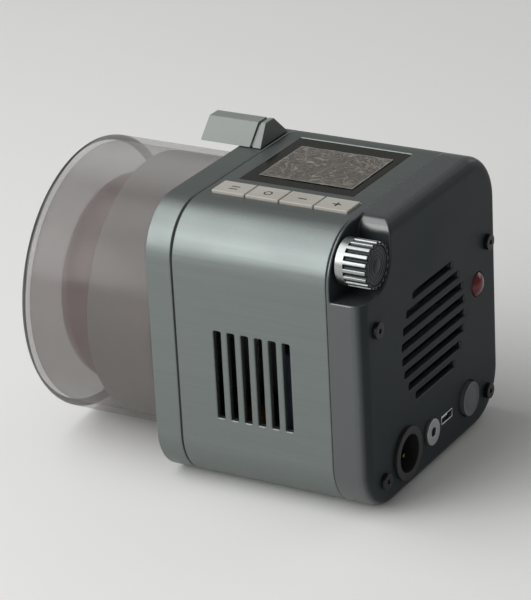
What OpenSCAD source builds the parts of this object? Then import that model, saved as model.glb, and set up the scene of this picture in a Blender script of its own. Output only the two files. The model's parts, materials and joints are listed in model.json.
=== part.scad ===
// Monolight strobe head with its protective cap on the front mount.
// X is the optical axis, with the front at -X. Z is up, and the origin is the
// mouth of the stand socket in the middle of the flat underside.

/* [Body] */
// Width of the body across Y
body_w = 107; // [104:1:116]
// Height of the body
body_h = 107; // [104:1:116]
// Length of the body without the cap
body_len = 87; // [85:1:100]
// Radius of the body's long corners
corner_r = 20; // [19:0.5:22]
// Wall of the metal sleeve
wall = 2.6; // [2.2:0.1:3]
// Length of the front ring along X
ring_len = 10.4; // [9.8:0.1:13]
// Thickness of the front ring's face
ring_face = 5; // [4.5:0.1:5.5]
// Thickness of the seam gasket behind the front ring
gasket_t = 0.6; // [0.4:0.1:1.2]
// How far the gasket lies below the skin
gasket_inset = 0.4; // [0.2:0.1:0.8]
// Length of the rear cover along X
rear_len = 14; // [13.5:0.1:16]
// Radius of the rear cover's rear edge
rear_edge_r = 5; // [3:0.5:6]
// Side wall of the rear cover
cover_wall = 3.4; // [3:0.1:4]
// Rear wall of the rear cover
rear_wall = 3; // [2.5:0.1:3.5]
// Length of the register lips that enter the sleeve
lip_len = 2; // [1.5:0.1:2.3]
// Wall of the register lips
lip_wall = 2.2; // [1.6:0.1:2.6]
// Gap of a fixed piece in its seat
fit = 0.15; // [0.1:0.05:0.25]
// Gap between pieces that move past each other
clear = 0.3; // [0.25:0.05:0.4]
// Radial gap of a running shaft
running = 0.08; // [0.05:0.01:0.1]

/* [Front mount] */
// How far the accessory collar lies inside the body's sides
collar_inset = 3.5; // [3:0.1:6]
// Length of the collar in front of the body
collar_len = 29.5; // [27:0.5:33]
// Wall of the collar
collar_wall = 3; // [2.5:0.1:3.5]
// Thickness of the collar's inner flange
flange_t = 3.5; // [3:0.1:4.5]
// Width of the collar's inner flange
flange_w = 12; // [9:0.5:14]
// Reach of the protective cap in front of the body
cap_reach = 57.4; // [52:0.1:64]
// Wall of the cap
cap_wall = 2.4; // [1.8:0.1:3]
// Gap between the cap's rim and the front ring
cap_gap = 0.4; // [0.3:0.1:0.8]
// Radius of the cap's front edge
cap_edge_r = 2.5; // [1.5:0.1:3]
// Diameter of the collar's screws
screw_d = 3; // [2.5:0.1:3.5]

/* [Light source] */
// Thickness of the reflector pan
pan_t = 1.5; // [1:0.1:2]
// Room between the dome's clips and the reflector pan
pan_gap = 0.95; // [0.4:0.05:1.5]
// Depth of the reflector pan
pan_depth = 19; // [14:0.5:22]
// Room between the ceramic tube socket and the glass dome
socket_gap = 3.5; // [1:0.1:5]
// Thickness of the ceramic tube socket
socket_t = 6; // [5:0.5:7]
// Distance from the socket's edge to the middle of the ring-shaped flash tube
tube_edge = 7; // [5.5:0.1:8.5]
// Diameter of the flash tube's glass
tube_d = 8; // [6:0.5:9]
// Height of the flash tube's ring in front of its socket
tube_rise = 13; // [11:0.5:15]
// Opening of the flash tube's ring in degrees
tube_gap_deg = 40; // [30:1:50]
// Diameter of the flash tube's legs
tube_leg_d = 4; // [3:0.5:5]
// Diameter of the trigger wire
wire_d = 1.2; // [0.8:0.1:1.6]
// Diameter of the modelling light's plate
led_d = 24; // [20:1:26]
// Thickness of the modelling light's plate
led_t = 2; // [1.5:0.1:3]
// Diameter of the modelling light's lens
led_lens_d = 18; // [14:1:20]
// Room between the collar's bore and the glass dome
dome_inset = 6.5; // [6:0.1:9]
// Wall of the glass dome
dome_wall = 2; // [1.5:0.1:2.5]
// Room between the glass dome's front and the cap's front wall
dome_gap = 2.5; // [1:0.1:8]
// Radius of the glass dome's front edge
dome_edge = 12; // [8:0.5:20]
// Height of the dome's foot flange
dome_foot_t = 2; // [1.5:0.1:3]
// Width of the dome's foot flange outside the dome
dome_foot_w = 1.5; // [1:0.1:1.8]
// Width of a dome clip round the rim
clip_w = 6; // [4:0.5:8]
// Thickness of a dome clip
clip_t = 1.4; // [1:0.1:1.8]

/* [Cooling] */
// Side of the square heat sink
sink_w = 50; // [44:1:51]
// Thickness of the heat sink's plate
sink_plate_t = 5; // [4:0.5:6]
// Length of the heat sink's fins
fin_len = 18; // [14:1:20]
// Thickness of a fin
fin_t = 1.8; // [1.2:0.1:2.2]
// Distance between fins
fin_pitch = 6; // [5.5:0.1:6.2]
// Side of the square fan
fan_w = 50; // [46:1:51]
// Depth of the fan
fan_depth = 15; // [14:0.5:17]
// Diameter of the fan's hub
fan_hub_d = 21; // [18:1:24]
// Number of fan blades
fan_blades = 7; // [5:1:9]
// Height of a vent slot
vent_t = 3; // [2:0.1:3.4]
// Distance between vent slots
vent_pitch = 5.6; // [5:0.1:6]
// Diameter of the round rear grille
grille_d = 50; // [40:1:51]
// Slots on each side of the body
side_vents = 6; // [4:1:6]
// Height of the side vents
side_vent_h = 34; // [24:1:38]

/* [Display and keys] */
// Front edge of the display window behind the front of the sleeve
window_front_gap = 6; // [4:0.5:8]
// Rear edge of the display window in front of the rear cover
window_rear_gap = 9.5; // [8:0.5:14]
// Far edge of the display window inside the far side of the body
window_side_gap = 22; // [20:0.5:28]
// Space between the display window and the keys
window_key_gap = 5.3; // [3:0.1:6]
// Thickness of the display window
window_t = 1.4; // [1:0.1:1.6]
// Depth of the window below the skin
window_inset = 0.2; // [0.1:0.05:0.4]
// Width of the ledge that carries the window
window_ledge = 1.5; // [1:0.1:2]
// Distance from the window's front edge to the panel
lcd_front_margin = 4.8; // [1.6:0.1:6]
// Distance from the window's rear edge to the panel
lcd_rear_margin = 3; // [1.6:0.1:5]
// Margin of the window beside its panel, on the side of the keys
lcd_near_margin = 5.6; // [1.6:0.1:7]
// Margin of the window beside its panel, on the far side
lcd_far_margin = 7.7; // [1.6:0.1:9]
// Thickness of the panel behind the window
lcd_t = 1.8; // [1.2:0.1:2.4]
// Front edge of the first key behind the front of the sleeve
key_front_gap = 3.5; // [2.4:0.1:6]
// Distance from the sleeve's rear edge to the row of keys
key_rear_gap = 3.5; // [2.4:0.1:10]
// Near edge of the keys inside the near side of the body
key_side_gap = 24; // [22:0.5:28]
// Width of a key across Y
key_w = 10; // [8:0.5:13]
// Gap between keys
key_gap = 0.5; // [0.4:0.1:1]
// How far a key stands above the skin
key_proud = 0.9; // [0.7:0.1:1.4]
// Travel of a key
key_travel = 0.6; // [0.4:0.1:0.7]
// Thickness of a key's retaining flange
key_flange_t = 0.9; // [0.6:0.1:1.1]
// Height of the key switches on the control board
switch_h = 3; // [2.4:0.1:3.2]
// Side of a square key switch
switch_side = 6; // [4:0.5:7]
// Thickness of the circuit boards
board_t = 1.6; // [1.2:0.1:2]
// Length of the studs that hold the control board
stud_len = 5.4; // [5.4:0.1:6.4]
// Room between the studs and the keys, and between the studs and the window
stud_gap = 1.7; // [1:0.1:2.5]

/* [Dial] */
// Diameter of the dial
dial_d = 17; // [15:0.5:17.5]
// Length of the dial
dial_len = 12.3; // [11:0.1:14]
// Distance of the dial's axis from the near side of the body
dial_in_y = 10.5; // [10:0.1:11.5]
// Distance of the dial's axis from the top of the body
dial_in_z = 11.5; // [11:0.1:12]
// Radius of the round pocket that the dial turns in
pocket_r = 12; // [10:0.5:12.5]
// Wall round the dial's pocket
pocket_wall = 2; // [1.6:0.1:2.6]
// Thickness of the web that carries the dial
web_t = 1.5; // [1.2:0.1:2.2]
// Radius where the pocket's wall meets the top
pocket_edge_r = 5; // [3:0.5:6]
// Length of the smooth ring at the dial's base
dial_ring_len = 3.2; // [2:0.1:4]
// Number of flutes round the dial
dial_flutes = 18; // [14:1:22]
// Width of a flute
flute_d = 1.7; // [1:0.1:2]
// Diameter of the dial's shaft
shaft_d = 4; // [3:0.1:4.4]
// Travel of the dial when it is pressed
dial_travel = 0.6; // [0.4:0.1:0.8]
// Diameter of the encoder's body
encoder_d = 7.4; // [7:0.1:8.2]
// Length of the encoder's body
encoder_len = 10; // [9.5:0.5:11]
// Depth of the dark inlay in the dial's end
inlay_t = 0.8; // [0.5:0.1:1.2]
// Rim of the dial round its inlay
inlay_rim = 1.3; // [0.8:0.1:2]

/* [Release latch] */
// Reach of the latch in front of the body
latch_reach = 16; // [10:0.5:18]
// Reach of the latch's top behind the body's front plane
latch_back = 8.5; // [6:0.1:9]
// Length of the slope at the latch's rear end
latch_slope = 1.5; // [1:0.1:2.5]
// Width of the groove across the latch
latch_groove = 0.9; // [0.6:0.1:1.4]
// Length of the band behind the latch's groove
latch_band = 2.2; // [1.6:0.1:3]
// Height of the latch above the body
latch_h = 7.8; // [6:0.1:9.5]
// Width of the latch's foot across Y
latch_w = 21; // [20:0.5:26]
// Middle of the latch inside the far side of the body
latch_side_gap = 29; // [27:0.5:31]
// Travel of the latch
latch_travel = 3.5; // [2.5:0.1:3.8]
// Length of the latch's stem along X
stem_l = 3; // [2.5:0.1:3.2]
// Width of the latch's stem across Y
stem_w = 8; // [6:0.5:9]
// Diameter of the lock pin
pin_d = 3.6; // [3:0.1:3.8]
// Reach of the lock pin in front of the body
pin_reach = 4; // [3.8:0.1:6]
// Depth of the lock pin's axis below the top of the body
pin_drop = 3.8; // [3.4:0.1:4]

/* [Power and ports] */
// Height of the ports above the underside
port_z = 15.5; // [15.5:0.1:16.5]
// Diameter of the power inlet's flange
inlet_flange_d = 20; // [18.5:0.5:20.5]
// Thickness of the flanges on the rear face
port_flange_t = 1.5; // [1:0.1:2]
// Diameter of the power inlet's socket
inlet_bore_d = 14.4; // [14:0.1:15]
// Wall of the power inlet's socket
inlet_wall = 1.4; // [1.2:0.1:1.7]
// Depth of the power inlet's socket
inlet_depth = 12; // [10:0.5:12.5]
// Circle of the power inlet's contacts
inlet_pin_circle_d = 9; // [8.8:0.1:10]
// Diameter of a power contact
inlet_pin_d = 1.8; // [1.4:0.1:1.9]
// Bore of the sync jack
sync_bore_d = 3.6; // [3.5:0.1:4]
// Depth of the sync jack
sync_depth = 14; // [12:0.5:14]
// Diameter of the sync jack's barrel
sync_barrel_d = 7; // [6:0.5:8]
// Diameter of the sync jack's nut
sync_nut_d = 10; // [9:0.5:11]
// Width of the data port
data_w = 9; // [8.5:0.1:9.5]
// Height of the data port
data_h = 3.4; // [3.2:0.1:3.8]
// Depth of the data port
data_depth = 7.5; // [6:0.5:9]
// Diameter of the power button
button_d = 13; // [11:0.5:14]
// How far the power button stands out
button_proud = 1.6; // [1.5:0.1:2.5]
// Travel of the power button
button_travel = 1.2; // [0.8:0.1:1.4]
// Depth of the power switch behind the rear wall
power_switch_depth = 8; // [7:0.5:9]
// Diameter of the slave sensor's window
sensor_d = 9; // [7:0.5:10]
// Place of the slave sensor across Y
sensor_y = 36; // [34:0.5:38]
// Height of the slave sensor above the axis
sensor_up = 4; // [0:0.5:8]

/* [Inside] */
// Diameter of the tie rods
rod_d = 6; // [5:0.1:6.4]
// Room between the lower tie rods and the corners of the register lips
rod_gap = 0.7; // [0.3:0.1:2]
// Distance of the upper tie rods from the sides
high_rod_in = 9.5; // [9:0.1:10.5]
// Height of the upper tie rods above the axis
high_rod_up = 18; // [16:0.5:19]
// Height of the power board above the underside
power_board_z = 17.5; // [17:0.1:18.5]
// Distance of the power board from the inside of the sleeve
power_board_in = 3.9; // [3:0.1:6]
// Diameter of a capacitor
capacitor_d = 22; // [18:0.5:23]
// Height of a capacitor
capacitor_h = 38; // [30:1:42]
// Distance of the capacitors from the inside of the sleeve
capacitor_gap = 3.1; // [1:0.1:6]
// Room between the fan and the charging transformer
transformer_gap = 2.5; // [1:0.1:6]
// Width of the charging transformer's core
core_w = 24; // [18:1:28]
// Height of the charging transformer's core
core_h = 18; // [14:1:24]
// Width of the charging transformer's winding
winding_w = 15; // [10:1:16]
// Height of the charging transformer's winding
winding_h = 12; // [8:1:13]
// Reach of the winding past each end of the core
winding_out = 3; // [1:0.1:4]
// Diameter of the trigger coil
coil_d = 10; // [6:0.5:12]
// Height of the trigger coil
coil_h = 6; // [4:0.5:12]
// Room between the fan's side and the trigger coil
coil_gap = 2; // [1:0.5:4]
// Length of the base plate
base_plate_l = 44; // [40:1:48]
// Width of the base plate
base_plate_w = 40; // [36:1:44]
// Thickness of the base plate
base_plate_t = 5; // [4:0.5:6]
// Diameter of the hole in the stand socket's bush, before its thread
stand_hole_d = 8; // [7.8:0.1:9]
// Depth of the stand socket
stand_depth = 12; // [10:0.5:12.5]
// Outer diameter of the stand socket's bush
bush_d = 14; // [13:0.5:16]

/* [Hidden] */
$fn = 72;

// Colours
satin = "#8d959b";
satin_dark = "#6d767c";
graphite = "#34393d";
rubber = "#1c1d1f";
steel = "#a9adb0";
board_green = "#2c5b44";
frosted = "#b9b6b0";

// A cut runs this far past the face that it opens
over = 1;

// Places along the optical axis
axis_z = body_h / 2;
x_front = -body_len / 2;
x_rear = body_len / 2;
x_ring = x_front + ring_len;
x_sleeve = x_ring + gasket_t;
x_cover = x_rear - rear_len;
x_pan = x_front - flange_t;
x_seat = x_pan - pan_t;
x_socket = x_seat - socket_t;
x_tube = x_socket - tube_rise;
x_ring_back = x_front + ring_face;
x_sink = x_ring_back + sink_plate_t;
x_fan = x_sink + fin_len;
x_fan_rear = x_fan + fan_depth;
x_rear_in = x_rear - rear_wall;

// The inside of the sleeve and of the register lips
in_w = body_w - 2 * wall;
in_h = body_h - 2 * wall;
in_r = corner_r - wall;
lip_w = in_w - 2 * fit;
lip_h = in_h - 2 * fit;
lip_r = in_r - fit;
z_in = body_h - wall;

// The front stack
collar_r = min(body_w, body_h) / 2 - collar_inset;
collar_in_r = collar_r - collar_wall;
flange_bore_r = collar_in_r - flange_w;
collar_screw_r = (collar_in_r + flange_bore_r) / 2;
screw_head_r = screw_d;
screw_hole_r = screw_d / 2 + fit;
screw_len = 8;
cap_in_r = collar_r + clear;
cap_r = cap_in_r + cap_wall;
cap_front_t = cap_wall;
x_cap_tip = x_front - cap_reach;
led_boss_w = 1;
led_boss_r = led_d / 2 + led_boss_w;
pan_bore_gap = 1.5;
pan_bore_r = led_boss_r + pan_bore_gap;
led_rise = 3;
x_led = x_seat - led_rise;
dome_r = collar_in_r - dome_inset;
dome_in_r = dome_r - dome_wall;
x_dome = x_cap_tip + cap_front_t + dome_gap;
socket_r = dome_in_r - socket_gap;
tube_ring_r = socket_r - tube_edge;
tube_leg_deg = tube_gap_deg / 2 + 7;
tube_leg_end = 1;
clip_r = dome_r + dome_foot_w + fit;
pan_floor_r = clip_r + clip_t + pan_gap + pan_t;
ring_bore_gap = 8;
ring_bore_r = led_boss_r + ring_bore_gap;

// The fan
fan_wall = 1.5;
fan_bore_r = fan_w / 2 - fan_wall;
fan_hub_r = fan_hub_d / 2;
fan_blade_r = fan_bore_r - 2 * clear;
fan_blade_t = 1.2;
fan_blade_deg = 38;
fan_pin_r = 1.5;
fan_strut_t = 3;
fan_strut_w = 4;
fan_corner_r = 3;

// The top of the body
key_y = key_side_gap + key_w / 2 - body_w / 2;
window_x0 = x_sleeve + window_front_gap;
window_x1 = x_cover - window_rear_gap;
window_y0 = key_y + key_w / 2 + window_key_gap;
window_y1 = body_w / 2 - window_side_gap;
z_window = body_h - window_inset;
lcd_low = [window_x0 + lcd_front_margin, window_y0 + lcd_near_margin];
lcd_high = [window_x1 - lcd_rear_margin, window_y1 - lcd_far_margin];
z_lcd = z_in - fit;
z_board = z_in - stud_len;
key_count = 4;
key_x0 = x_sleeve + key_front_gap;
key_row_l = x_cover - key_rear_gap - key_x0;
key_l = (key_row_l - (key_count - 1) * key_gap) / key_count;
z_switch = z_board + switch_h;
z_key_foot = z_switch + clear + key_travel;
z_key_flange = z_in - clear - key_flange_t;
key_flange_out = 1;
key_stem_w = 4;
board_front = x_sleeve + lip_len + clear;
board_rear = x_cover - key_rear_gap;
stud_d = 3.6;
stud_in = 3;
stud_y0 = key_y - key_w / 2 - key_flange_out - stud_gap - stud_d / 2;
stud_y1 = window_y1 - window_ledge + stud_gap + stud_d / 2;

// The dial in its pocket
dial_y = -(body_w / 2 - dial_in_y);
dial_z = body_h - dial_in_z;
dial_r = dial_d / 2;
x_web = x_cover + web_t;
x_dial = x_web + dial_travel + 2 * clear;
x_dial_end = x_dial + dial_len;
shaft_r = shaft_d / 2;
plunger_rim = 0.3;
plunger_r = shaft_r + plunger_rim;
plunger_t = 2.5;
x_encoder = x_cover - encoder_len;
encoder_floor = 1;
x_plunger = x_encoder + encoder_floor + dial_travel + 2 * clear;
x_shaft = x_plunger + plunger_t + clear;
dial_end_t = 2.5;
x_shaft_end = x_dial_end - inlay_t - dial_end_t;
encoder_board_side = 15;
encoder_board_in_y = 8.5;
encoder_board_in_z = 10.5;

// The latch
latch_y = body_w / 2 - latch_side_gap;
x_latch = x_front - latch_reach;
z_latch = body_h + clear;
stem_front = 2.5;
x_stem = x_front + stem_front;
stem_foot = 0.8;
stem_drop = pin_drop + pin_d / 2 + stem_foot;
pin_z = body_h - pin_drop;
pin_r = pin_d / 2;

// Fixings inside
rod_r = rod_d / 2;
low_rod_out = (lip_r - lip_wall - rod_gap - rod_r) * sqrt(0.5);
low_rod_y = body_w / 2 - corner_r + low_rod_out;
low_rod_z = corner_r - low_rod_out;
high_rod_y = body_w / 2 - high_rod_in;
high_rod_z = axis_z + high_rod_up;
rod_places = [
    [-low_rod_y, low_rod_z], [low_rod_y, low_rod_z],
    [-high_rod_y, high_rod_z], [high_rod_y, high_rod_z]
];
rear_screw_head_t = 1.8;
power_board_front_gap = 8;
power_board_rear_gap = 3.5;
power_board_front = x_sleeve + lip_len + power_board_front_gap;
power_board_rear = x_cover - lip_len - power_board_rear_gap;
power_board_w = in_w - 2 * power_board_in;
z_power = power_board_z + board_t;
standoff_d = 6;
standoff_gap = 1;
standoff_y = base_plate_w / 2 + standoff_gap + standoff_d / 2;
standoff_in = 6;
capacitor_r = capacitor_d / 2;
capacitor_y = in_w / 2 - capacitor_gap - capacitor_r;
winding_rise = (core_h - winding_h) / 2;
coil_in = 10;
base_screw_in = 6;
base_screw_x = base_plate_l / 2 - base_screw_in;
base_screw_y = base_plate_w / 2 - base_screw_in;
bush_flange_t = 2;
bush_flange_w = 2;
bush_floor = 1.5;
bush_len = stand_depth + bush_floor;

// The ports in the rear face, evenly spaced between the lower screws
inlet_r = inlet_bore_d / 2 + inlet_wall;
inlet_pin_len = 8;
port_floor = 1.5;
button_r = button_d / 2;
power_switch_wall = 2;
power_switch_r = button_r + clear + power_switch_wall;
port_sizes = [inlet_flange_d, sync_nut_d, data_w, 2 * power_switch_r];
port_room = 2 * (low_rod_y - screw_head_r);
port_space = (port_room - total(port_sizes, 4)) / 5;
inlet_y = port_y(0);
sync_y = port_y(1);
data_y = port_y(2);
button_y = port_y(3);

// Sum of the first values of a list
function total(list, count) = count == 0 ? 0 : list[count - 1] + total(list, count - 1);

// Middle of a port across Y, counted from the near side
function port_y(i) =
    (i + 1) * port_space + total(port_sizes, i) + port_sizes[i] / 2 - port_room / 2;

// A round bar along X
module bar_x(x0, x1, r, y = 0, z = axis_z) {
    translate([x0, y, z])
        rotate([0, 90, 0])
            cylinder(h = x1 - x0, r = r);
}

// A block from its lowest to its highest corner
module block(low, high) {
    translate(low)
        cube(high - low);
}

// A shape turned about the optical axis, drawn as [radius, x]
module turned() {
    translate([0, 0, axis_z])
        rotate([0, 90, 0])
            rotate_extrude()
                children();
}

// A section drawn as [y, height above the axis], drawn out along X
module section_x(x0, x1) {
    translate([x0, 0, axis_z])
        rotate([90, 0, 90])
            linear_extrude(x1 - x0)
                children();
}

// A square with round corners
module rounded_square(w, h, r) {
    square([w - 2 * r, h], center = true);
    square([w, h - 2 * r], center = true);
    for (sy = [-1, 1], sz = [-1, 1])
        translate([sy * (w / 2 - r), sz * (h / 2 - r)])
            circle(r);
}

// A frame between two rounded squares
module rounded_frame(w, h, r, t) {
    difference() {
        rounded_square(w, h, r);
        rounded_square(w - 2 * t, h - 2 * t, r - t);
    }
}

// An oblong whose two far corners are round
module end_outline(len, w, r) {
    translate([0, -w / 2])
        square([len - r, w]);
    translate([0, r - w / 2])
        square([len, w - 2 * r]);
    for (side = [-1, 1])
        translate([len - r, side * (w / 2 - r)])
            circle(r);
}

// Half the outline of a round bar whose far edge is round
module bar_outline(r, len, edge_r) {
    square([r - edge_r, len]);
    square([r, len - edge_r]);
    translate([r - edge_r, len - edge_r])
        circle(edge_r);
}

// A block of the body's section whose rear edge is round
module soft_ended_block(x0, x1, edge_r) {
    len = x1 - x0;
    translate([x0, 0, axis_z]) {
        linear_extrude(body_h - 2 * corner_r, center = true)
            end_outline(len, body_w, edge_r);
        rotate([90, 0, 0])
            linear_extrude(body_w - 2 * corner_r, center = true)
                end_outline(len, body_h, edge_r);
        for (sy = [-1, 1], sz = [-1, 1])
            translate([0, sy * (body_w / 2 - corner_r), sz * (body_h / 2 - corner_r)])
                rotate([0, 90, 0])
                    rotate_extrude()
                        bar_outline(corner_r, len, edge_r);
    }
}

// Copies round the optical axis
module around_axis(count, start = 0) {
    for (i = [0 : count - 1])
        translate([0, 0, axis_z])
            rotate([start + i * 360 / count, 0, 0])
                translate([0, 0, -axis_z])
                    children();
}

// A countersunk screw along +X with its flat head at x
module sunk_screw_x(x, y, z, d, len) {
    translate([x, y, z])
        rotate([0, 90, 0]) {
            cylinder(h = d / 2, r1 = d, r2 = d / 2);
            cylinder(h = len, r = d / 2);
        }
}

// The outline of the dial's pocket, made larger by grow
module pocket_outline(grow = 0) {
    r = pocket_r + grow;
    up = dial_z - axis_z;
    translate([dial_y, up])
        circle(r);
    translate([dial_y + r - body_w, up])
        square([body_w, body_h]);
    translate([dial_y - body_w, up - r])
        square([body_w, r]);
}

// The strip cut off where the pocket's wall turns into the top
module pocket_edge_cut() {
    y = dial_y + pocket_r;
    z = body_h / 2 - pocket_edge_r;
    difference() {
        translate([y - over, z])
            square([pocket_edge_r + over, pocket_edge_r + over]);
        translate([y + pocket_edge_r, z])
            circle(pocket_edge_r);
        translate([y + pocket_edge_r, z])
            square(pocket_edge_r + 2 * over);
    }
}

module front_ring() {
    color(satin)
        difference() {
            union() {
                section_x(x_front, x_ring)
                    rounded_square(body_w, body_h, corner_r);
                section_x(x_ring, x_sleeve + lip_len)
                    rounded_square(lip_w, lip_h, lip_r);
            }
            section_x(x_ring_back, x_sleeve + lip_len + over)
                rounded_square(lip_w - 2 * lip_wall, lip_h - 2 * lip_wall, lip_r - lip_wall);
            bar_x(x_front - over, x_ring_back + over, ring_bore_r);
            around_axis(4, 45)
                bar_x(x_front - over, x_ring_back + over, screw_hole_r, 0, axis_z + collar_screw_r);
            block(
                [x_stem - clear, latch_y - stem_w / 2 - clear, body_h - stem_drop - clear],
                [x_stem + stem_l + latch_travel + clear, latch_y + stem_w / 2 + clear, body_h + over]
            );
            bar_x(x_front - over, x_stem, pin_r + clear, latch_y, pin_z);
        }
}

module ring_gasket() {
    color(rubber)
        section_x(x_ring, x_sleeve)
            rounded_frame(
                body_w - 2 * gasket_inset, body_h - 2 * gasket_inset,
                corner_r - gasket_inset, wall - gasket_inset
            );
}

module body_sleeve() {
    color(satin)
        difference() {
            section_x(x_sleeve, x_cover)
                rounded_frame(body_w, body_h, corner_r, wall);
            window_opening();
            key_opening();
            side_vent_cuts();
            translate([0, 0, -over])
                cylinder(h = wall + 2 * over, r = bush_d / 2 + fit);
            base_screw_places()
                cylinder(h = wall + 2 * over, r = screw_hole_r);
            base_screw_places()
                translate([0, 0, over])
                    cylinder(h = screw_d / 2 + fit, r1 = screw_d + fit, r2 = screw_d / 2 + fit);
        }
}

module window_opening() {
    block(
        [window_x0 - fit, window_y0 - fit, z_window - window_t],
        [window_x1 + fit, window_y1 + fit, body_h + over]
    );
    block(
        [window_x0 + window_ledge, window_y0 + window_ledge, z_in - over],
        [window_x1 - window_ledge, window_y1 - window_ledge, body_h]
    );
}

module key_opening() {
    block(
        [key_x0 - clear, key_y - key_w / 2 - clear, z_in - over],
        [key_x0 + key_row_l + clear, key_y + key_w / 2 + clear, body_h + over]
    );
}

module side_vent_cuts() {
    middle = (x_sleeve + x_cover) / 2;
    first = middle - (side_vents - 1) * vent_pitch / 2;
    for (i = [0 : side_vents - 1])
        block(
            [first + i * vent_pitch - vent_t / 2, -body_w, axis_z - side_vent_h / 2 - 6],
            [first + i * vent_pitch + vent_t / 2, body_w, axis_z + side_vent_h / 2 - 6]
        );
}

module rear_cover() {
    color(graphite)
        difference() {
            union() {
                difference() {
                    soft_ended_block(x_cover, x_rear, rear_edge_r);
                    section_x(x_cover - over, x_rear_in)
                        rounded_square(
                            body_w - 2 * cover_wall, body_h - 2 * cover_wall,
                            corner_r - cover_wall
                        );
                }
                section_x(x_cover - lip_len, x_cover + lip_len)
                    rounded_frame(lip_w, lip_h, lip_r, lip_wall);
                intersection() {
                    soft_ended_block(x_cover, x_rear, rear_edge_r);
                    section_x(x_cover, x_rear)
                        pocket_outline(pocket_wall);
                }
            }
            section_x(x_web, x_rear + over)
                pocket_outline();
            section_x(x_web, x_rear + over)
                pocket_edge_cut();
            bar_x(x_cover - over, x_web + over, shaft_r + running, dial_y, dial_z);
            bar_x(x_cover - lip_len - over, x_cover, encoder_d / 2 + fit, dial_y, dial_z);
            grille_cuts();
            for (place = rod_places)
                bar_x(x_rear_in - over, x_rear + over, screw_hole_r, place[0], place[1]);
            bar_x(x_rear_in - over, x_rear + over, inlet_r + fit, inlet_y, port_z);
            bar_x(x_rear_in - over, x_rear + over, sync_barrel_d / 2 + fit, sync_y, port_z);
            bar_x(x_rear_in - over, x_rear + over, button_r + clear, button_y, port_z);
            bar_x(x_rear_in - over, x_rear + over, sensor_d / 2 + fit, sensor_y, axis_z + sensor_up);
            block(
                [x_rear_in - over, data_y - data_w / 2 - fit, port_z - data_h / 2 - fit],
                [x_rear + over, data_y + data_w / 2 + fit, port_z + data_h / 2 + fit]
            );
        }
}

module grille_cuts() {
    rows = floor(grille_d / vent_pitch);
    for (i = [0 : rows - 1]) {
        up = (i - (rows - 1) / 2) * vent_pitch;
        half = sqrt(pow(grille_d / 2, 2) - pow(up, 2));
        block(
            [x_rear_in - over, -half, axis_z + up - vent_t / 2],
            [x_rear + over, half, axis_z + up + vent_t / 2]
        );
    }
}

module mount_collar() {
    color(satin_dark)
        difference() {
            bar_x(x_front - collar_len, x_front, collar_r);
            bar_x(x_front - collar_len - over, x_pan, collar_in_r);
            bar_x(x_pan - over, x_front + over, flange_bore_r);
            around_axis(4, 45)
                sunk_screw_x(x_pan - fit, 0, axis_z + collar_screw_r, screw_d + 2 * fit, screw_len);
        }
}

module collar_screws() {
    color(steel)
        around_axis(4, 45)
            sunk_screw_x(x_pan, 0, axis_z + collar_screw_r, screw_d, screw_len);
}

module reflector_pan() {
    rim_r = collar_in_r - fit;
    color("#d6d8da")
        turned()
            polygon([
                [pan_bore_r, x_pan], [pan_floor_r, x_pan], [rim_r, x_pan - pan_depth],
                [rim_r - pan_t, x_pan - pan_depth], [pan_floor_r - pan_t, x_seat],
                [pan_bore_r, x_seat]
            ]);
}

// Places of the flash tube's legs, as angles from straight down
module tube_leg_places() {
    for (side = [-1, 1])
        translate([0, 0, axis_z])
            rotate([side * tube_leg_deg, 0, 0])
                translate([0, 0, -axis_z])
                    children();
}

module tube_socket() {
    color("#e6e2d8")
        difference() {
            bar_x(x_socket, x_seat, socket_r);
            bar_x(x_socket - over, x_seat + over, pan_bore_r);
            tube_leg_places()
                bar_x(x_socket - over, x_seat + over, tube_leg_d / 2 + fit, 0, axis_z - tube_ring_r);
        }
}

module flash_tube() {
    color("#d9c3b4") {
        translate([x_tube, 0, axis_z])
            rotate([0, 90, 0])
                rotate([0, 0, tube_gap_deg / 2])
                    rotate_extrude(angle = 360 - tube_gap_deg)
                        translate([tube_ring_r, 0])
                            circle(tube_d / 2);
        tube_leg_places()
            bar_x(x_tube, x_seat - tube_leg_end, tube_leg_d / 2, 0, axis_z - tube_ring_r);
    }
}

module trigger_wire() {
    x = x_tube - tube_d / 2 - fit - wire_d / 2;
    color(steel) {
        turned()
            translate([tube_ring_r, x])
                circle(wire_d / 2);
        bar_x(x, x_socket, wire_d / 2, 0, axis_z - tube_ring_r);
    }
}

module modelling_led() {
    color("#e8c860")
        bar_x(x_led - led_t, x_led, led_d / 2);
}

module led_lens() {
    r = led_lens_d / 2;
    color("#e9eaea")
        turned()
            translate([0, x_led - led_t])
                intersection() {
                    circle(r);
                    translate([0, -r])
                        square(r);
                }
}

// Half outline of a round-edged cup, open at its back
module cup_outline(r, front, back, edge) {
    translate([0, front])
        square([r - edge, back - front]);
    translate([0, front + edge])
        square([r, back - front - edge]);
    translate([r - edge, front + edge])
        circle(edge);
}

module glass_dome() {
    color("#a8786c", 0.5)
        turned() {
            difference() {
                cup_outline(dome_r, x_dome, x_seat, dome_edge);
                cup_outline(dome_in_r, x_dome + dome_wall, x_seat + over, dome_edge - dome_wall);
            }
            translate([dome_in_r, x_seat - dome_foot_t])
                square([dome_wall + dome_foot_w, dome_foot_t]);
        }
}

module dome_clips() {
    x_top = x_seat - dome_foot_t - fit - clip_t;
    color(steel)
        around_axis(3)
            difference() {
                block(
                    [x_top, -clip_w / 2, axis_z + dome_r + 2 * fit],
                    [x_seat, clip_w / 2, axis_z + clip_r + clip_t]
                );
                bar_x(x_top + clip_t, x_seat + over, clip_r);
            }
}

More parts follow.
